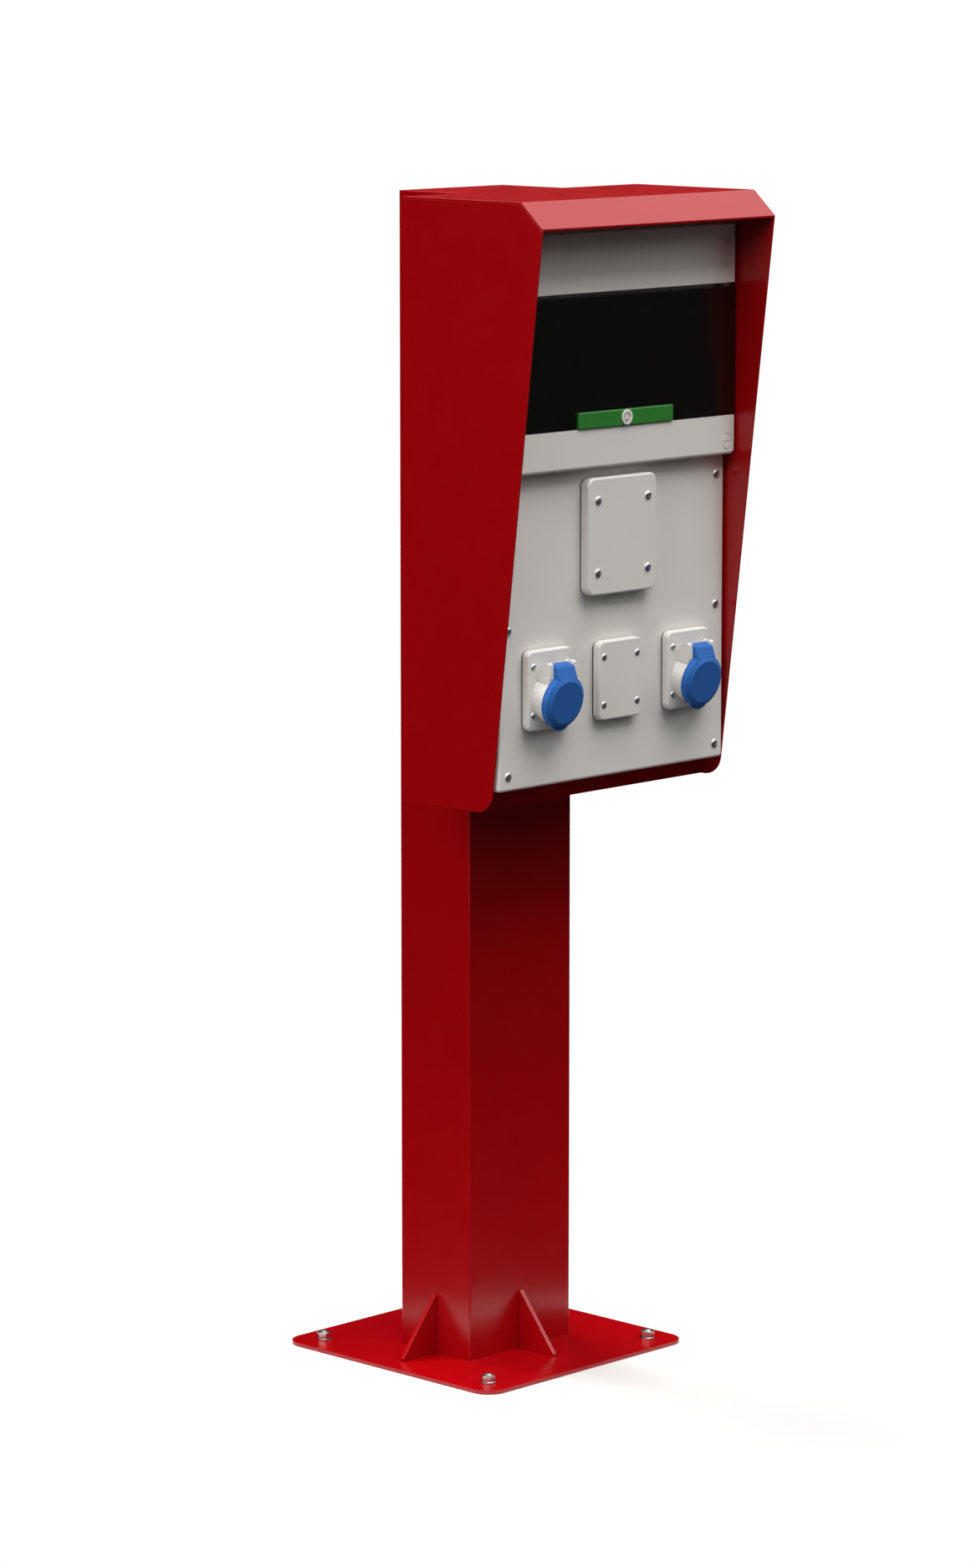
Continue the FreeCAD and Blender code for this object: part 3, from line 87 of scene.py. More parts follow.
back = Vector((math.sin(AZIMUTH) * math.cos(ELEVATION),
               -math.cos(AZIMUTH) * math.cos(ELEVATION), math.sin(ELEVATION)))
right = Vector((math.cos(AZIMUTH), math.sin(AZIMUTH), 0))
up = back.cross(right)
aimed = Matrix((right, up, back)).transposed() @ Matrix.Rotation(ROLL, 3, "Z")

lens = bpy.data.cameras.new("camera")
lens.lens = LENS_MM
lens.sensor_width = SENSOR_MM
lens.sensor_fit = "HORIZONTAL"
camera = bpy.data.objects.new("camera", lens)
scene.collection.objects.link(camera)
place = AIM + back * DISTANCE + right * SIDESTEP + up * RISE
camera.matrix_world = Matrix.LocRotScale(place, aimed.to_quaternion(), None)
scene.camera = camera
scene.view_settings.view_transform = "Standard"
print("camera at", [round(v, 3) for v in camera.location])

# %% [markdown]
# ## Colours and nodes
# Colours are written as the hex values of a colour picker. Cycles works with linear light, so one
# function turns each channel of a hex value into the linear number. A second small function adds one
# node with its settings and links. Every material below is built with it.

# %% Two helpers for colour and nodes
def linear(hex_colour):
    """The linear red, green, blue and alpha of a #RRGGBB colour."""
    channels = []
    for k in (1, 3, 5):
        c = int(hex_colour[k:k + 2], 16) / 255
        channels.append(c / 12.92 if c <= 0.04045 else ((c + 0.055) / 1.055) ** 2.4)
    return (*channels, 1.0)


def add(tree, kind, inputs=(), **settings):
    """One node with its settings. Each input is (socket, value), where a value may be another socket."""
    node = tree.nodes.new(kind)
    for name, value in settings.items():
        setattr(node, name, value)
    for socket, value in inputs:
        if isinstance(value, bpy.types.NodeSocket):
            tree.links.new(value, node.inputs[socket])
        else:
            node.inputs[socket].default_value = value
    return node


# %% [markdown]
# ## The studio
# The photograph has a pure white ground, yet the upright red faces show almost no white reflection.
# Such a studio has a pale floor and backdrop, black cards low down all round the object, and soft
# boxes high up. The world is therefore white wherever the camera, a mirror or glass sees it, and the
# cards, which only reflections see, keep the low part of the room dark. For soft light the world is
# an even, dim room.

# %% World
ROOM_LIGHT = 0.01
WHITE = linear("#FFFFFF")
WHITE_PAPER = 1.0


def looked_at(tree):
    """A socket that is 1 where the camera, a reflection or glass looks, and 0 for other light."""
    path = add(tree, "ShaderNodeLightPath").outputs
    seen = path["Is Camera Ray"]
    for kind in ("Is Glossy Ray", "Is Transmission Ray"):
        seen = add(tree, "ShaderNodeMath", [(0, seen), (1, path[kind])], operation="MAXIMUM").outputs[0]
    return seen


world = bpy.data.worlds.new("studio")
scene.world = world
world.use_nodes = True
tree = world.node_tree
tree.nodes.clear()
room = add(tree, "ShaderNodeBackground", [("Color", linear("#FFFDFA")), ("Strength", ROOM_LIGHT)])
paper = add(tree, "ShaderNodeBackground", [("Color", WHITE), ("Strength", WHITE_PAPER)])
both = add(tree, "ShaderNodeMixShader", [(0, looked_at(tree)), (1, room.outputs[0]), (2, paper.outputs[0])])
add(tree, "ShaderNodeOutputWorld", [("Surface", both.outputs[0])])
print("world made")

# %% [markdown]
# The floor is white paint. It keeps the object's shadow close to the foot plate, and further out it
# fades into the white of the room. Only the part near the foot throws back soft light, because the
# underside of the real hood is nearly black in the photograph while the column's foot is bright.

# %% Floor
def mesh_object(name, points, faces, material=None):
    """An object from points in metres and faces."""
    mesh = bpy.data.meshes.new(name)
    mesh.from_pydata(points, [], faces)
    mesh.validate()
    if material:
        mesh.materials.append(material)
    made = bpy.data.objects.new(name, mesh)
    scene.collection.objects.link(made)
    return made


def material_tree(name):
    """A new material and its empty node tree."""
    material = bpy.data.materials.new(name)
    material.use_nodes = True
    material.node_tree.nodes.clear()
    return material, material.node_tree


def sheet(name, width, depth, material):
    """A flat rectangle round the origin."""
    x, y = width / 2, depth / 2
    return mesh_object(name, [(-x, -y, 0), (x, -y, 0), (x, y, 0), (-x, y, 0)], [(0, 1, 2, 3)], material)


FLOOR_SIZE = 120.0
FADE_NEAR = 0.22
FADE_FAR = 0.6
BOUNCE_NEAR = 0.25
BOUNCE_FAR = 0.5
PAINT_GRAIN = 11.111 * MM

floor_paint, tree = material_tree("floor_white_matt_paint")
where = add(tree, "ShaderNodeTexCoord").outputs["Object"]
radius = add(tree, "ShaderNodeVectorMath", [(0, where)], operation="LENGTH").outputs["Value"]
fade = add(tree, "ShaderNodeMapRange", [(0, radius), (1, FADE_NEAR), (2, FADE_FAR), (3, 0.0), (4, 1.0)],
           interpolation_type="SMOOTHSTEP")
grain = add(tree, "ShaderNodeTexNoise", [("Vector", where), ("Scale", 1 / PAINT_GRAIN), ("Detail", 3.0)])
shade = add(tree, "ShaderNodeMix", [(0, grain.outputs["Fac"]), (6, linear("#D9D9D8")),
                                    (7, linear("#DEDEDD"))], data_type="RGBA")
near = add(tree, "ShaderNodeBsdfDiffuse", [("Color", shade.outputs[2])])
far = add(tree, "ShaderNodeEmission", [("Color", WHITE), ("Strength", WHITE_PAPER)])
shown = add(tree, "ShaderNodeMixShader", [(0, fade.outputs[0]), (1, near.outputs[0]), (2, far.outputs[0])])
reach = add(tree, "ShaderNodeMapRange", [(0, radius), (1, BOUNCE_NEAR), (2, BOUNCE_FAR),
                                         (3, 0.0), (4, 1.0)])
dull = add(tree, "ShaderNodeMix", [(0, reach.outputs[0]), (6, linear("#C8C8C7")),
                                   (7, linear("#3A3A3A"))], data_type="RGBA")
dim = add(tree, "ShaderNodeBsdfDiffuse", [("Color", dull.outputs[2])])
both = add(tree, "ShaderNodeMixShader", [(0, looked_at(tree)), (1, dim.outputs[0]), (2, shown.outputs[0])])
add(tree, "ShaderNodeOutputMaterial", [("Surface", both.outputs[0])])
sheet("floor", FLOOR_SIZE, FLOOR_SIZE, floor_paint)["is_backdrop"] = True
print("floor made")

# %% [markdown]
# The black cards are a ring of felt standing round the object and a felt cloth on the floor. The cloth
# begins just outside the foot plate's corners, so the column's foot still mirrors a strip of white floor.

# %% Black cards
CARD_RADIUS = 3.0
CARD_TOP = 2.6
CLOTH_INNER = 0.255
CLOTH_LIFT = 0.2 * MM
CARD_SIDES = 64
WEAVE = 16.667 * MM


def only_reflected(piece):
    """Lets only reflections see a piece of the studio."""
    for rays in ("camera", "diffuse", "shadow", "transmission", "volume_scatter"):
        setattr(piece, "visible_" + rays, False)
    piece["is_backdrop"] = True


card_felt, tree = material_tree("card_black_felt")
weave = add(tree, "ShaderNodeTexNoise", [("Scale", 1 / WEAVE)])
felt = add(tree, "ShaderNodeMix", [(0, weave.outputs["Fac"]), (6, linear("#050505")),
                                   (7, linear("#101010"))], data_type="RGBA")
cloth = add(tree, "ShaderNodeBsdfDiffuse", [("Color", felt.outputs[2])])
add(tree, "ShaderNodeOutputMaterial", [("Surface", cloth.outputs[0])])
points, faces = [], []
for reach, level in ((CLOTH_INNER, CLOTH_LIFT), (CARD_RADIUS, CLOTH_LIFT), (CARD_RADIUS, CARD_TOP)):
    for k in range(CARD_SIDES):
        a = 2 * math.pi * k / CARD_SIDES
        points.append((reach * math.cos(a), reach * math.sin(a), level))
for ring in (0, CARD_SIDES):
    for k in range(CARD_SIDES):
        following = (k + 1) % CARD_SIDES
        faces.append((ring + k, ring + following, ring + CARD_SIDES + following, ring + CARD_SIDES + k))
only_reflected(mesh_object("black_cards", points, faces, card_felt))
print("cards made")

# %% [markdown]
# ## The lights
# The upright faces are half as bright as the roof, the left and front faces are equally bright, and the
# shadows under the blank plates fall nearly straight down. That is a wide soft box high in front, a
# strong panel on the left, and weak panels off the near corner and on the right. One more panel, high
# behind, lights the roof and the foot plate. The folded visor mirrors a small box on the right. The
# panels are matt sheets that light the object but aren't mirrored in it.

# %% Soft boxes
LAMP_AIM = Vector((0, 0, 0.75))


def stand_at(azimuth, elevation, distance):
    """A place that looks at the hood's height. Azimuth 0 is in front of the covers."""
    a, e = math.radians(azimuth), math.radians(elevation)
    away = Vector((math.sin(a) * math.cos(e), -math.cos(a) * math.cos(e), math.sin(e)))
    return Matrix.LocRotScale(LAMP_AIM + away * distance, away.to_track_quat("Z", "Y"), None)


def soft_box(name, azimuth, elevation, distance, size, power, mirrored=True):
    """A rectangular lamp. A matt panel lights the object but isn't mirrored in it."""
    lamp = bpy.data.lights.new(name, "AREA")
    lamp.shape = "RECTANGLE"
    lamp.size, lamp.size_y = size
    lamp.energy = power
    lamp.color = linear("#FFFEFC")[:3]
    holder = bpy.data.objects.new(name, lamp)
    scene.collection.objects.link(holder)
    holder.matrix_world = stand_at(azimuth, elevation, distance)
    holder.visible_camera = False
    holder.visible_glossy = mirrored
    print(name, "at", [round(v, 2) for v in holder.location])


soft_box("front_box", 0, 63, 10, (8, 6), 960)
soft_box("left_panel", -90, 25, 10, (7, 5), 690, mirrored=False)
soft_box("corner_panel", -45, 35, 10, (5, 4), 110, mirrored=False)
soft_box("right_panel", 45, 30, 10, (7, 5), 205, mirrored=False)
soft_box("visor_box", 97, 45, 8, (5, 4), 41)
soft_box("back_box", 180, 60, 10, (5, 4), 1130, mirrored=False)

# %% [markdown]
# Chrome and zinc show what they mirror, and between black cards they would look like holes. White cards
# stand inside the ring of black ones, where the flat painted faces hardly mirror them into the camera.
# Only reflections see them. They make the small bright glints on the screws, the nuts and the rounded
# edges.

# %% White cards
CARD_DISTANCE = 2.8


def white_card(name, azimuth, elevation, size, strength):
    """A shining card that shows only in reflections."""
    paper, tree = material_tree(name + "_paper")
    glow = add(tree, "ShaderNodeEmission", [("Color", WHITE), ("Strength", strength)])
    add(tree, "ShaderNodeOutputMaterial", [("Surface", glow.outputs[0])])
    card = sheet(name, *size, paper)
    card.matrix_world = stand_at(azimuth, elevation, CARD_DISTANCE)
    only_reflected(card)
    print(name)


white_card("left_card", -90, 25, (1.6, 1.1), 6.0)
white_card("corner_card", -45, 30, (1.6, 1.1), 4.0)
white_card("right_card", 45, 32, (1.6, 1.1), 3.0)
white_card("low_left_card", -85, -4, (1.2, 1.2), 0.6)
white_card("low_right_card", 88, 0, (1.3, 1.3), 0.6)

# %% [markdown]
# ## Finishes
# Each finish starts from the real material and the way its surface was made. A noise node's scale is one
# over the width of its blobs, so every pattern below is given as a width in millimetres. A noise node's
# values bunch round one half, so the range that sets the gloss starts near 0.3 and ends at 0.7.
#
# The red is a gloss polyester powder coat, baked on. It is even and deep in colour, and its surface
# keeps a fine orange peel: waves a few millimetres wide and a few hundredths of a millimetre high. The
# eye sees them only where it looks along the surface, on the roof and the foot plate.

# %% Red gloss powder coat
CLOUD = 70 * MM
PATCH = 22 * MM
PEEL = 2.4 * MM
PEEL_HEIGHT = 0.03 * MM
SWELL = 18 * MM
SWELL_HEIGHT = 0.06 * MM

red_coat, tree = material_tree("red_gloss_powder_coat")
where = add(tree, "ShaderNodeTexCoord").outputs["Object"]
cloud = add(tree, "ShaderNodeTexNoise", [("Vector", where), ("Scale", 1 / CLOUD), ("Detail", 4.0)])
tone = add(tree, "ShaderNodeMix", [(0, cloud.outputs["Fac"]), (6, linear("#970107")),
                                   (7, linear("#9E0209"))], data_type="RGBA")
patch = add(tree, "ShaderNodeTexNoise", [("Vector", where), ("Scale", 1 / PATCH), ("Detail", 5.0),
                                         ("Roughness", 0.6)])
gloss = add(tree, "ShaderNodeMapRange", [(0, patch.outputs["Fac"]), (1, 0.3), (2, 0.7), (3, 0.20), (4, 0.27)])
peel = add(tree, "ShaderNodeTexNoise", [("Vector", where), ("Scale", 1 / PEEL), ("Detail", 2.0)])
peel = add(tree, "ShaderNodeBump", [("Height", peel.outputs["Fac"]), ("Strength", 0.5),
                                    ("Distance", PEEL_HEIGHT)])
swell = add(tree, "ShaderNodeTexNoise", [("Vector", where), ("Scale", 1 / SWELL), ("Detail", 2.0)])
swell = add(tree, "ShaderNodeBump", [("Height", swell.outputs["Fac"]), ("Strength", 0.5),
                                     ("Distance", SWELL_HEIGHT), ("Normal", peel.outputs[0])])
shader = add(tree, "ShaderNodeBsdfPrincipled", [("Base Color", tone.outputs[2]), ("IOR", 1.5),
                                                ("Roughness", gloss.outputs[0]),
                                                ("Normal", swell.outputs[0])])
add(tree, "ShaderNodeOutputMaterial", [("Surface", shader.outputs[0])])
print(red_coat.name)

# %% [markdown]
# The covers, flanges and lids are injection moulded. A steel mould that was spark-eroded leaves a fine,
# even grain, and the plastic's gloss drifts a little from the gate to the far corners. The real grain is
# about a tenth of a millimetre wide, too fine to show here, so it is drawn coarser. One function makes
# all the moulded plastics, each with its own colour, gloss and index of refraction.

# %% Moulded plastics
FLOW = 35 * MM
DULL_PATCH = 12 * MM


def moulded(name, deep, bright, ior, rough=(0.38, 0.5), grain_mm=0.9, relief_mm=0.02, sheen=0.5):
    """Injection-moulded plastic: an even colour under a fine spark-eroded grain."""
    material, tree = material_tree(name)
    where = add(tree, "ShaderNodeTexCoord").outputs["Object"]
    flow = add(tree, "ShaderNodeTexNoise", [("Vector", where), ("Scale", 1 / FLOW), ("Detail", 4.0)])
    tone = add(tree, "ShaderNodeMix", [(0, flow.outputs["Fac"]), (6, linear(deep)), (7, linear(bright))],
               data_type="RGBA")
    patch = add(tree, "ShaderNodeTexNoise", [("Vector", where), ("Scale", 1 / DULL_PATCH), ("Detail", 5.0)])
    gloss = add(tree, "ShaderNodeMapRange", [(0, patch.outputs["Fac"]), (1, 0.3), (2, 0.7),
                                             (3, rough[0]), (4, rough[1])])
    grain = add(tree, "ShaderNodeTexNoise", [("Vector", where), ("Scale", 1 / (grain_mm * MM)),
                                             ("Detail", 2.0)])
    grain = add(tree, "ShaderNodeBump", [("Height", grain.outputs["Fac"]), ("Strength", 0.35),
                                         ("Distance", relief_mm * MM)])
    shader = add(tree, "ShaderNodeBsdfPrincipled", [("Base Color", tone.outputs[2]), ("IOR", ior),
                                                    ("Roughness", gloss.outputs[0]),
                                                    ("Normal", grain.outputs[0]),
                                                    ("Specular IOR Level", sheen)])
    add(tree, "ShaderNodeOutputMaterial", [("Surface", shader.outputs[0])])
    print(name)
    return material


grey_case = moulded("grey_moulded_polycarbonate", "#DCD9D5", "#E1DEDA", 1.58)
green_bar = moulded("green_moulded_abs", "#247425", "#297A2A", 1.54)
blue_lid = moulded("blue_moulded_nylon", "#2861AD", "#2C66B4", 1.53, rough=(0.45, 0.58), sheen=0.2)
white_device = moulded("white_moulded_thermoset", "#DDDDD8", "#E4E4DF", 1.55)
black_toggle = moulded("black_moulded_nylon", "#17181A", "#1D1E20", 1.53)
black_seal = moulded("black_epdm_rubber", "#101010", "#191919", 1.5, rough=(0.6, 0.8), grain_mm=1.4)

# %% [markdown]
# The window is smoked polycarbonate sheet. It is so dark that the switchgear behind it hardly shows, and
# years of wiping have taken the sharpness from its reflections. The tint is in the sheet, so most of the
# light that enters is lost and only a little passes through.

# %% Smoked window
TINT_CLOUD = 50 * MM
WIPE = 30 * MM
RIPPLE = 40 * MM
RIPPLE_HEIGHT = 0.1 * MM

smoked_window, tree = material_tree("smoked_polycarbonate_sheet")
where = add(tree, "ShaderNodeTexCoord").outputs["Object"]
cloud = add(tree, "ShaderNodeTexNoise", [("Vector", where), ("Scale", 1 / TINT_CLOUD), ("Detail", 3.0)])
tone = add(tree, "ShaderNodeMix", [(0, cloud.outputs["Fac"]), (6, linear("#090908")),
                                   (7, linear("#0C0C0B"))], data_type="RGBA")
wiped = add(tree, "ShaderNodeTexNoise", [("Vector", where), ("Scale", 1 / WIPE), ("Detail", 6.0),
                                         ("Roughness", 0.65)])
gloss = add(tree, "ShaderNodeMapRange", [(0, wiped.outputs["Fac"]), (1, 0.35), (2, 0.7),
                                         (3, 0.25), (4, 0.27)])
ripple = add(tree, "ShaderNodeTexNoise", [("Vector", where), ("Scale", 1 / RIPPLE), ("Detail", 1.0)])
ripple = add(tree, "ShaderNodeBump", [("Height", ripple.outputs["Fac"]), ("Strength", 0.1),
                                      ("Distance", RIPPLE_HEIGHT)])
shader = add(tree, "ShaderNodeBsdfPrincipled", [("Base Color", tone.outputs[2]), ("IOR", 1.58),
                                                ("Roughness", gloss.outputs[0]),
                                                ("Normal", ripple.outputs[0]),
                                                ("Transmission Weight", 0.08)])
add(tree, "ShaderNodeOutputMaterial", [("Surface", shader.outputs[0])])
print(smoked_window.name)

# %% [markdown]
# The screws are chromium plated, the anchors and bolts zinc plated, and the terminals turned brass. All
# three are bare metal to the light, so only their colour and gloss differ. Plating and turning both
# leave fine patches of different gloss.

# %% Plated and bare metals
STAIN = 4 * MM
PLATING_PATCH = 1.5 * MM


def bare_metal(name, deep, bright, rough):
    """A metal surface with fine differences of gloss."""
    material, tree = material_tree(name)
    where = add(tree, "ShaderNodeTexCoord").outputs["Object"]
    cloud = add(tree, "ShaderNodeTexNoise", [("Vector", where), ("Scale", 1 / STAIN), ("Detail", 4.0)])
    tone = add(tree, "ShaderNodeMix", [(0, cloud.outputs["Fac"]), (6, linear(deep)), (7, linear(bright))],
               data_type="RGBA")
    patch = add(tree, "ShaderNodeTexNoise", [("Vector", where), ("Scale", 1 / PLATING_PATCH),
                                             ("Detail", 4.0), ("Roughness", 0.6)])
    gloss = add(tree, "ShaderNodeMapRange", [(0, patch.outputs["Fac"]), (1, 0.3), (2, 0.7),
                                             (3, rough[0]), (4, rough[1])])
    shader = add(tree, "ShaderNodeBsdfPrincipled", [("Base Color", tone.outputs[2]), ("Metallic", 1.0),
                                                    ("Roughness", gloss.outputs[0])])
    add(tree, "ShaderNodeOutputMaterial", [("Surface", shader.outputs[0])])
    print(name)
    return material


chrome = bare_metal("chromium_plated_steel", "#D2D4D6", "#E2E3E5", (0.30, 0.42))
zinc = bare_metal("zinc_plated_steel", "#C4C6C7", "#D6D7D8", (0.18, 0.30))
brass_bar = bare_metal("turned_brass", "#B08D4A", "#C9A55C", (0.2, 0.35))

# %% [markdown]
# The record names a material slot for every node, so the finishes can be handed out in one loop. Only
# the switch levers differ: their slot is the window's dark plastic, and they are black nylon.

# %% Hand out the finishes
finishes = {"red_paint": red_coat, "grey_plastic": grey_case, "dark_window": smoked_window,
            "green_plastic": green_bar, "blue_plastic": blue_lid, "white_plastic": white_device,
            "black_rubber": black_seal, "chrome_steel": chrome, "zinc_steel": zinc, "brass": brass_bar}
slot_of = {part["node"]: part["material_slot"] for part in frame["record"]["subparts"]}
for name, solid in nodes.items():
    finish = finishes[slot_of[name]]
    if name.endswith("toggle"):
        finish = black_toggle
    for k in range(len(solid.data.materials)):
        solid.data.materials[k] = finish
print("finishes on", len(nodes), "nodes")

# %% [markdown]
# ## Softened edges
# No real edge is a knife edge. Sheared and coated sheet has an edge radius of about half a millimetre,
# and moulded plastic about two thirds of that. The solids have sharp edges, so each node that shows gets
# three modifiers: one joins the faces' separate corners, one merges flat neighbours and one rounds the
# edges.

# %% Edge softening
SHEET_EDGE = 0.45 * MM
MOULD_EDGE = 0.3 * MM
SAME_CORNER = 0.002 * MM
SAME_FLAT = math.radians(0.4)


def soften(name, width, segments, angle):
    """Rounds the sharp edges of one CAD node with modifiers; its mesh stays as it is."""
    solid = nodes[name]
    joined = solid.modifiers.new("join_corners", "WELD")
    joined.merge_threshold = SAME_CORNER
    flat = solid.modifiers.new("merge_flats", "DECIMATE")
    flat.decimate_type = "DISSOLVE"
    flat.angle_limit = SAME_FLAT
    edge = solid.modifiers.new("soft_edges", "BEVEL")
    edge.width = width
    edge.segments = segments
    edge.limit_method = "ANGLE"
    edge.angle_limit = math.radians(angle)
    edge.use_clamp_overlap = True
    edge.harden_normals = True
    edge.miter_outer = "MITER_ARC"


sheet_parts = ["base_plate", "hood_roof", "hood_left_panel", "hood_right_panel", "gusset_front",
               "gusset_left", "gusset_back", "gusset_right", "mounting_plate", "column_cap"]
moulded_parts = ["lower_cover", "large_blank_plate", "small_blank_plate", "left_socket_lid",
                 "right_socket_lid", "latch_bar", "window_flap", "left_socket_housing",
                 "right_socket_housing", "upper_cover", "cover_lock_1", "cover_lock_2", "cover_lock_3",
                 "cover_lock_4", "lock_cylinder"]
for name in sheet_parts:
    soften(name, SHEET_EDGE, segments=3, angle=32)
for name in moulded_parts:
    soften(name, MOULD_EDGE, segments=2, angle=22)
print("edges softened on", len(sheet_parts) + len(moulded_parts), "nodes")

# %% [markdown]
# ## Screws
# The covers and flanges are held by pan-head screws with a cross recess. The solids have plain heads, and
# at this size the eye reads the bright dome and the dark tapered cross. Each head is turned from a
# profile and the recess is cut out of it with a Boolean modifier. The places come from the solids.

# %% Where the fasteners are
SAME_POINT = 0.001 * MM


def bodies_in(name):
    """The boxes of the separate bodies in one CAD node, in metres and in a fixed order."""
    mesh = bmesh.new()
    mesh.from_mesh(nodes[name].data)
    bmesh.ops.remove_doubles(mesh, verts=mesh.verts, dist=SAME_POINT)
    unseen, boxes = set(mesh.verts), []
    while unseen:
        group = [unseen.pop()]
        for vert in group:
            for edge in vert.link_edges:
                other = edge.other_vert(vert)
                if other in unseen:
                    unseen.discard(other)
                    group.append(other)
        low = Vector([min(v.co[k] for v in group) for k in range(3)])
        high = Vector([max(v.co[k] for v in group) for k in range(3)])
        boxes.append((low, high))
    mesh.free()
    return sorted(boxes, key=lambda box: [round(v / MM, 1) for v in box[0]])


for name in ("cover_screws", "large_blank_screws", "flange_screws", "m8_nuts", "m8_washers", "anchor_studs"):
    print(name, len(bodies_in(name)), "bodies")


# %% Turning and placing
CREASE = math.radians(34)


def turned(profile, sides):
    """A mesh turned round the Z axis from points of radius and height."""
    mesh = bmesh.new()
    points = [mesh.verts.new((r, 0, h)) for r, h in profile]
    edges = [mesh.edges.new(pair) for pair in zip(points, points[1:])]
    bmesh.ops.spin(mesh, geom=points + edges, cent=(0, 0, 0), axis=(0, 0, 1), angle=2 * math.pi,
                   steps=sides, use_merge=True)
    bmesh.ops.remove_doubles(mesh, verts=mesh.verts, dist=SAME_POINT / 10)
    bmesh.ops.recalc_face_normals(mesh, faces=mesh.faces)
    made = bpy.data.meshes.new("turned")
    mesh.to_mesh(made)
    mesh.free()
    return made


def copies(name, template, places, finish):
    """One piece with a copy of a mesh at each place. It rides on the frame and stands for one CAD node."""
    mesh = bmesh.new()
    for place in places:
        first = len(mesh.verts)
        mesh.from_mesh(template)
        mesh.verts.ensure_lookup_table()
        bmesh.ops.transform(mesh, matrix=place, verts=mesh.verts[first:])
    made = bpy.data.meshes.new(name + "_dressed")
    mesh.to_mesh(made)
    mesh.free()
    made.materials.append(finish)
    made.shade_smooth()
    made.set_sharp_from_angle(angle=CREASE)
    piece = bpy.data.objects.new(name + "_dressed", made)
    scene.collection.objects.link(piece)
    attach(piece, "frame")
    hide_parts(name)
    print(name, len(places), "copies,", len(made.polygons), "faces")


# %% [markdown]
# Every length of a screw's head is a share of the head's radius, so one function makes all three sizes.
# The head's section is a superellipse: flatter on top and rounder at the rim than a ball.

# %% Pan-head screws
HEAD_SIDES = 40
HEAD_STEPS = 9
DOME_POWER = 2.5
HEAD_HEIGHT = 0.46
HEAD_SUNK = 0.42
SHANK = 0.45
RECESS_ARM = 0.52
RECESS_HALF = 0.15
RECESS_DEPTH = 0.25
RECESS_TAPER = 0.62


def pan_head(radius, length):
    """A turned pan head on its shank, with a tapered cross recess. The seat is at height 0."""
    profile = []
    for k in range(HEAD_STEPS + 1):
        a = math.pi / 2 * k / HEAD_STEPS
        profile.append((radius * math.sin(a) ** (2 / DOME_POWER),
                        HEAD_HEIGHT * radius * max(math.cos(a), 0.0) ** (2 / DOME_POWER)))
    shank = SHANK * radius
    profile += [(shank, 0.0), (shank, -length), (0.0, -length)]
    head = bpy.data.objects.new("head", turned(profile, HEAD_SIDES))
    points = []
    for level, spread in ((HEAD_HEIGHT * radius + 0.1 * MM, 1.0), (-RECESS_DEPTH * radius, RECESS_TAPER)):
        arm, half = RECESS_ARM * radius * spread, RECESS_HALF * radius * spread
        for k in range(4):
            c, s = math.cos(k * math.pi / 2), math.sin(k * math.pi / 2)
            for u, v in ((arm, -half), (arm, half), (half, half)):
                points.append((u * c - v * s, u * s + v * c, level))
    sides = [(12 + k, 12 + (k + 1) % 12, (k + 1) % 12, k) for k in range(12)]
    cutter = mesh_object("cross_cutter", points, [tuple(range(12)), tuple(range(23, 11, -1)), *sides])
    scene.collection.objects.link(head)
    cut = head.modifiers.new("recess", "BOOLEAN")
    cut.operation = "DIFFERENCE"
    cut.solver = "EXACT"
    cut.object = cutter
    bpy.context.view_layer.update()
    done = bpy.data.meshes.new_from_object(head.evaluated_get(bpy.context.evaluated_depsgraph_get()))
    bpy.data.objects.remove(head)
    bpy.data.objects.remove(cutter)
    return done


# %% Place the screws, each turned by another angle, as a hand leaves them
TURNS = (12, 71, 38, 55, 24, 80)
FORWARD = Matrix.Rotation(math.pi / 2, 4, "X")

for name in ("cover_screws", "large_blank_screws", "flange_screws"):
    boxes = bodies_in(name)
    low, high = boxes[0]
    radius = (high.x - low.x) / 2
    seat = HEAD_SUNK * radius
    places = []
    for k, (low, high) in enumerate(boxes):
        spot = Vector(((low.x + high.x) / 2, low.y + seat, (low.z + high.z) / 2))
        turn = Matrix.Rotation(math.radians(TURNS[k % len(TURNS)]), 4, "Z")
        places.append(Matrix.Translation(spot) @ FORWARD @ turn)
    copies(name, pan_head(radius, high.y - low.y - seat), places, chrome)

# %% [markdown]
# ## Anchors
# Each anchor is an M8 stud with a washer and a hexagon nut. A nut is chamfered at 30 degrees on a lathe
# after the hexagon is formed, which leaves an arc on each flat. The chamfer is worked out for every
# angle round the nut: the further out the hexagon reaches, the lower its upper edge. The bolts behind
# the hood carry the same nuts and washers, with their axes along Y.

# %% Nuts
NUT_STEPS = 72
CHAMFER = math.tan(math.radians(30))
CHAMFER_START = 0.93
NUT_BORE = 3.6 * MM
SINK = 0.5 * MM
FOOT_ZONE = 0.1


def ring_mesh(name, columns):
    """A closed ring mesh from one loop of points for each angle round the Z axis."""
    count, rows = len(columns), len(columns[0])
    points = [point for column in columns for point in column]
    faces = []
    for k in range(count):
        following = (k + 1) % count
        for j in range(rows):
            up = (j + 1) % rows
            faces.append((k * rows + j, following * rows + j, following * rows + up, k * rows + up))
    made = bpy.data.meshes.new(name)
    made.from_pydata(points, [], faces)
    return made


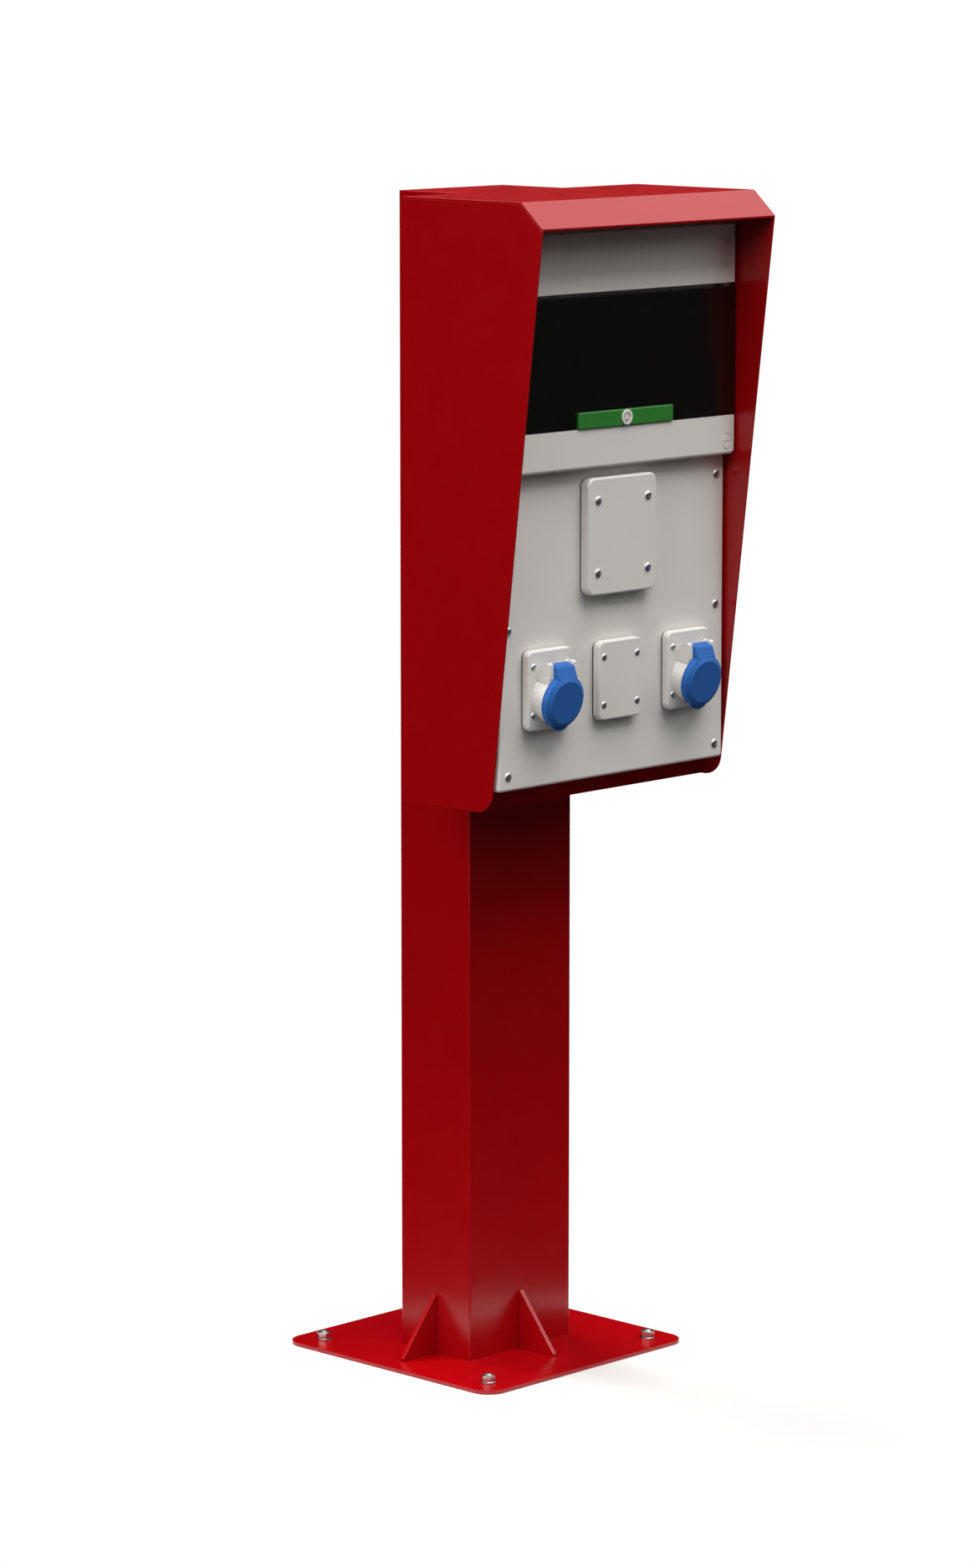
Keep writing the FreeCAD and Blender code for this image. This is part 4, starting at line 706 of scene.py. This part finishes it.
def hex_nut(across, height):
    """A hexagon nut with both chamfers and a countersunk bore, standing on height 0."""
    flat = across / 2
    inner = CHAMFER_START * flat
    columns = []
    for k in range(NUT_STEPS):
        a = 2 * math.pi * k / NUT_STEPS
        corner = flat / math.cos((a % (math.pi / 3)) - math.pi / 6)
        drop = (corner - inner) * CHAMFER
        loop = [(NUT_BORE, SINK), (NUT_BORE + SINK, 0.0), (inner, 0.0), (corner, drop),
                (corner, height - drop), (inner, height), (NUT_BORE + SINK, height),
                (NUT_BORE, height - SINK)]
        columns.append([(r * math.cos(a), r * math.sin(a), h) for r, h in loop])
    return ring_mesh("hex_nut", columns)


def fastener_places(name):
    """The size of the upright bodies of a node, and a place for each body, on an anchor or a hood bolt."""
    places, size = [], None
    for low, high in bodies_in(name):
        middle = (low + high) / 2
        if high.z < FOOT_ZONE:
            size = size or high - low
            places.append(Matrix.Translation((middle.x, middle.y, low.z)))
        else:
            places.append(Matrix.Translation((middle.x, high.y, middle.z)) @ FORWARD)
    return size, places


size, places = fastener_places("m8_nuts")
nut = hex_nut(min(size.x, size.y), size.z)
copies("m8_nuts", nut, places, zinc)


# %% Washers
WASHER_SIDES = 48
WASHER_BORE = 4.0 * MM
PRESSED_RIM = 0.25 * MM


def washer_profile(outer, thick):
    """A flat washer's section, with its rim rounded by the press."""
    rim = outer - PRESSED_RIM
    return [(WASHER_BORE, 0.0), (rim, 0.0), (outer, PRESSED_RIM), (outer, thick - PRESSED_RIM),
            (rim, thick), (WASHER_BORE, thick), (WASHER_BORE, 0.0)]


size, places = fastener_places("m8_washers")
washer = turned(washer_profile(size.x / 2, size.z), WASHER_SIDES)
copies("m8_washers", washer, places, zinc)

# %% [markdown]
# An M8 thread climbs 1.25 mm for each turn. The stud's radius follows a saw wave that climbs with the
# angle, and over the last millimetre it also follows a dome, as the end of a rolled stud does.

# %% Threaded studs
THREAD_SIDES = 32
THREAD_ROWS = 6
PITCH = 1.25 * MM
THREAD_DEPTH = 0.54 * PITCH
STUD_RADIUS = 3.95 * MM
DOME = 1.1 * MM


def threaded_stud(radius, length):
    """A rod with a helical thread and a domed end, standing on height 0."""
    rows = int(length / PITCH * THREAD_ROWS)
    points = []
    for i in range(rows + 1):
        h = length * i / rows
        over = max(0.0, (h - (length - DOME)) / DOME)
        limit = radius * math.sqrt(max(0.0, 1 - 0.75 * over * over))
        for j in range(THREAD_SIDES):
            turn = j / THREAD_SIDES
            wave = abs(((h / PITCH - turn) % 1.0) * 2 - 1)
            r = min(radius - THREAD_DEPTH * (1 - wave), limit)
            points.append((r * math.cos(2 * math.pi * turn), r * math.sin(2 * math.pi * turn), h))
    last = rows * THREAD_SIDES
    faces = [tuple(range(THREAD_SIDES - 1, -1, -1)), tuple(range(last, last + THREAD_SIDES))]
    for i in range(rows):
        for j in range(THREAD_SIDES):
            a, b = i * THREAD_SIDES + j, i * THREAD_SIDES + (j + 1) % THREAD_SIDES
            faces.append((a, b, b + THREAD_SIDES, a + THREAD_SIDES))
    made = bpy.data.meshes.new("threaded_stud")
    made.from_pydata(points, [], faces)
    return made


size, places = fastener_places("anchor_studs")
copies("anchor_studs", threaded_stud(STUD_RADIUS, size.z), places, zinc)

# %% [markdown]
# ## Size
# The last line prints the visual model's box in millimetres.

# %% Size
bpy.context.view_layer.update()
low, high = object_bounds()
print("visual model:", [round(v / MM, 1) for v in (*low, *high)], "mm")
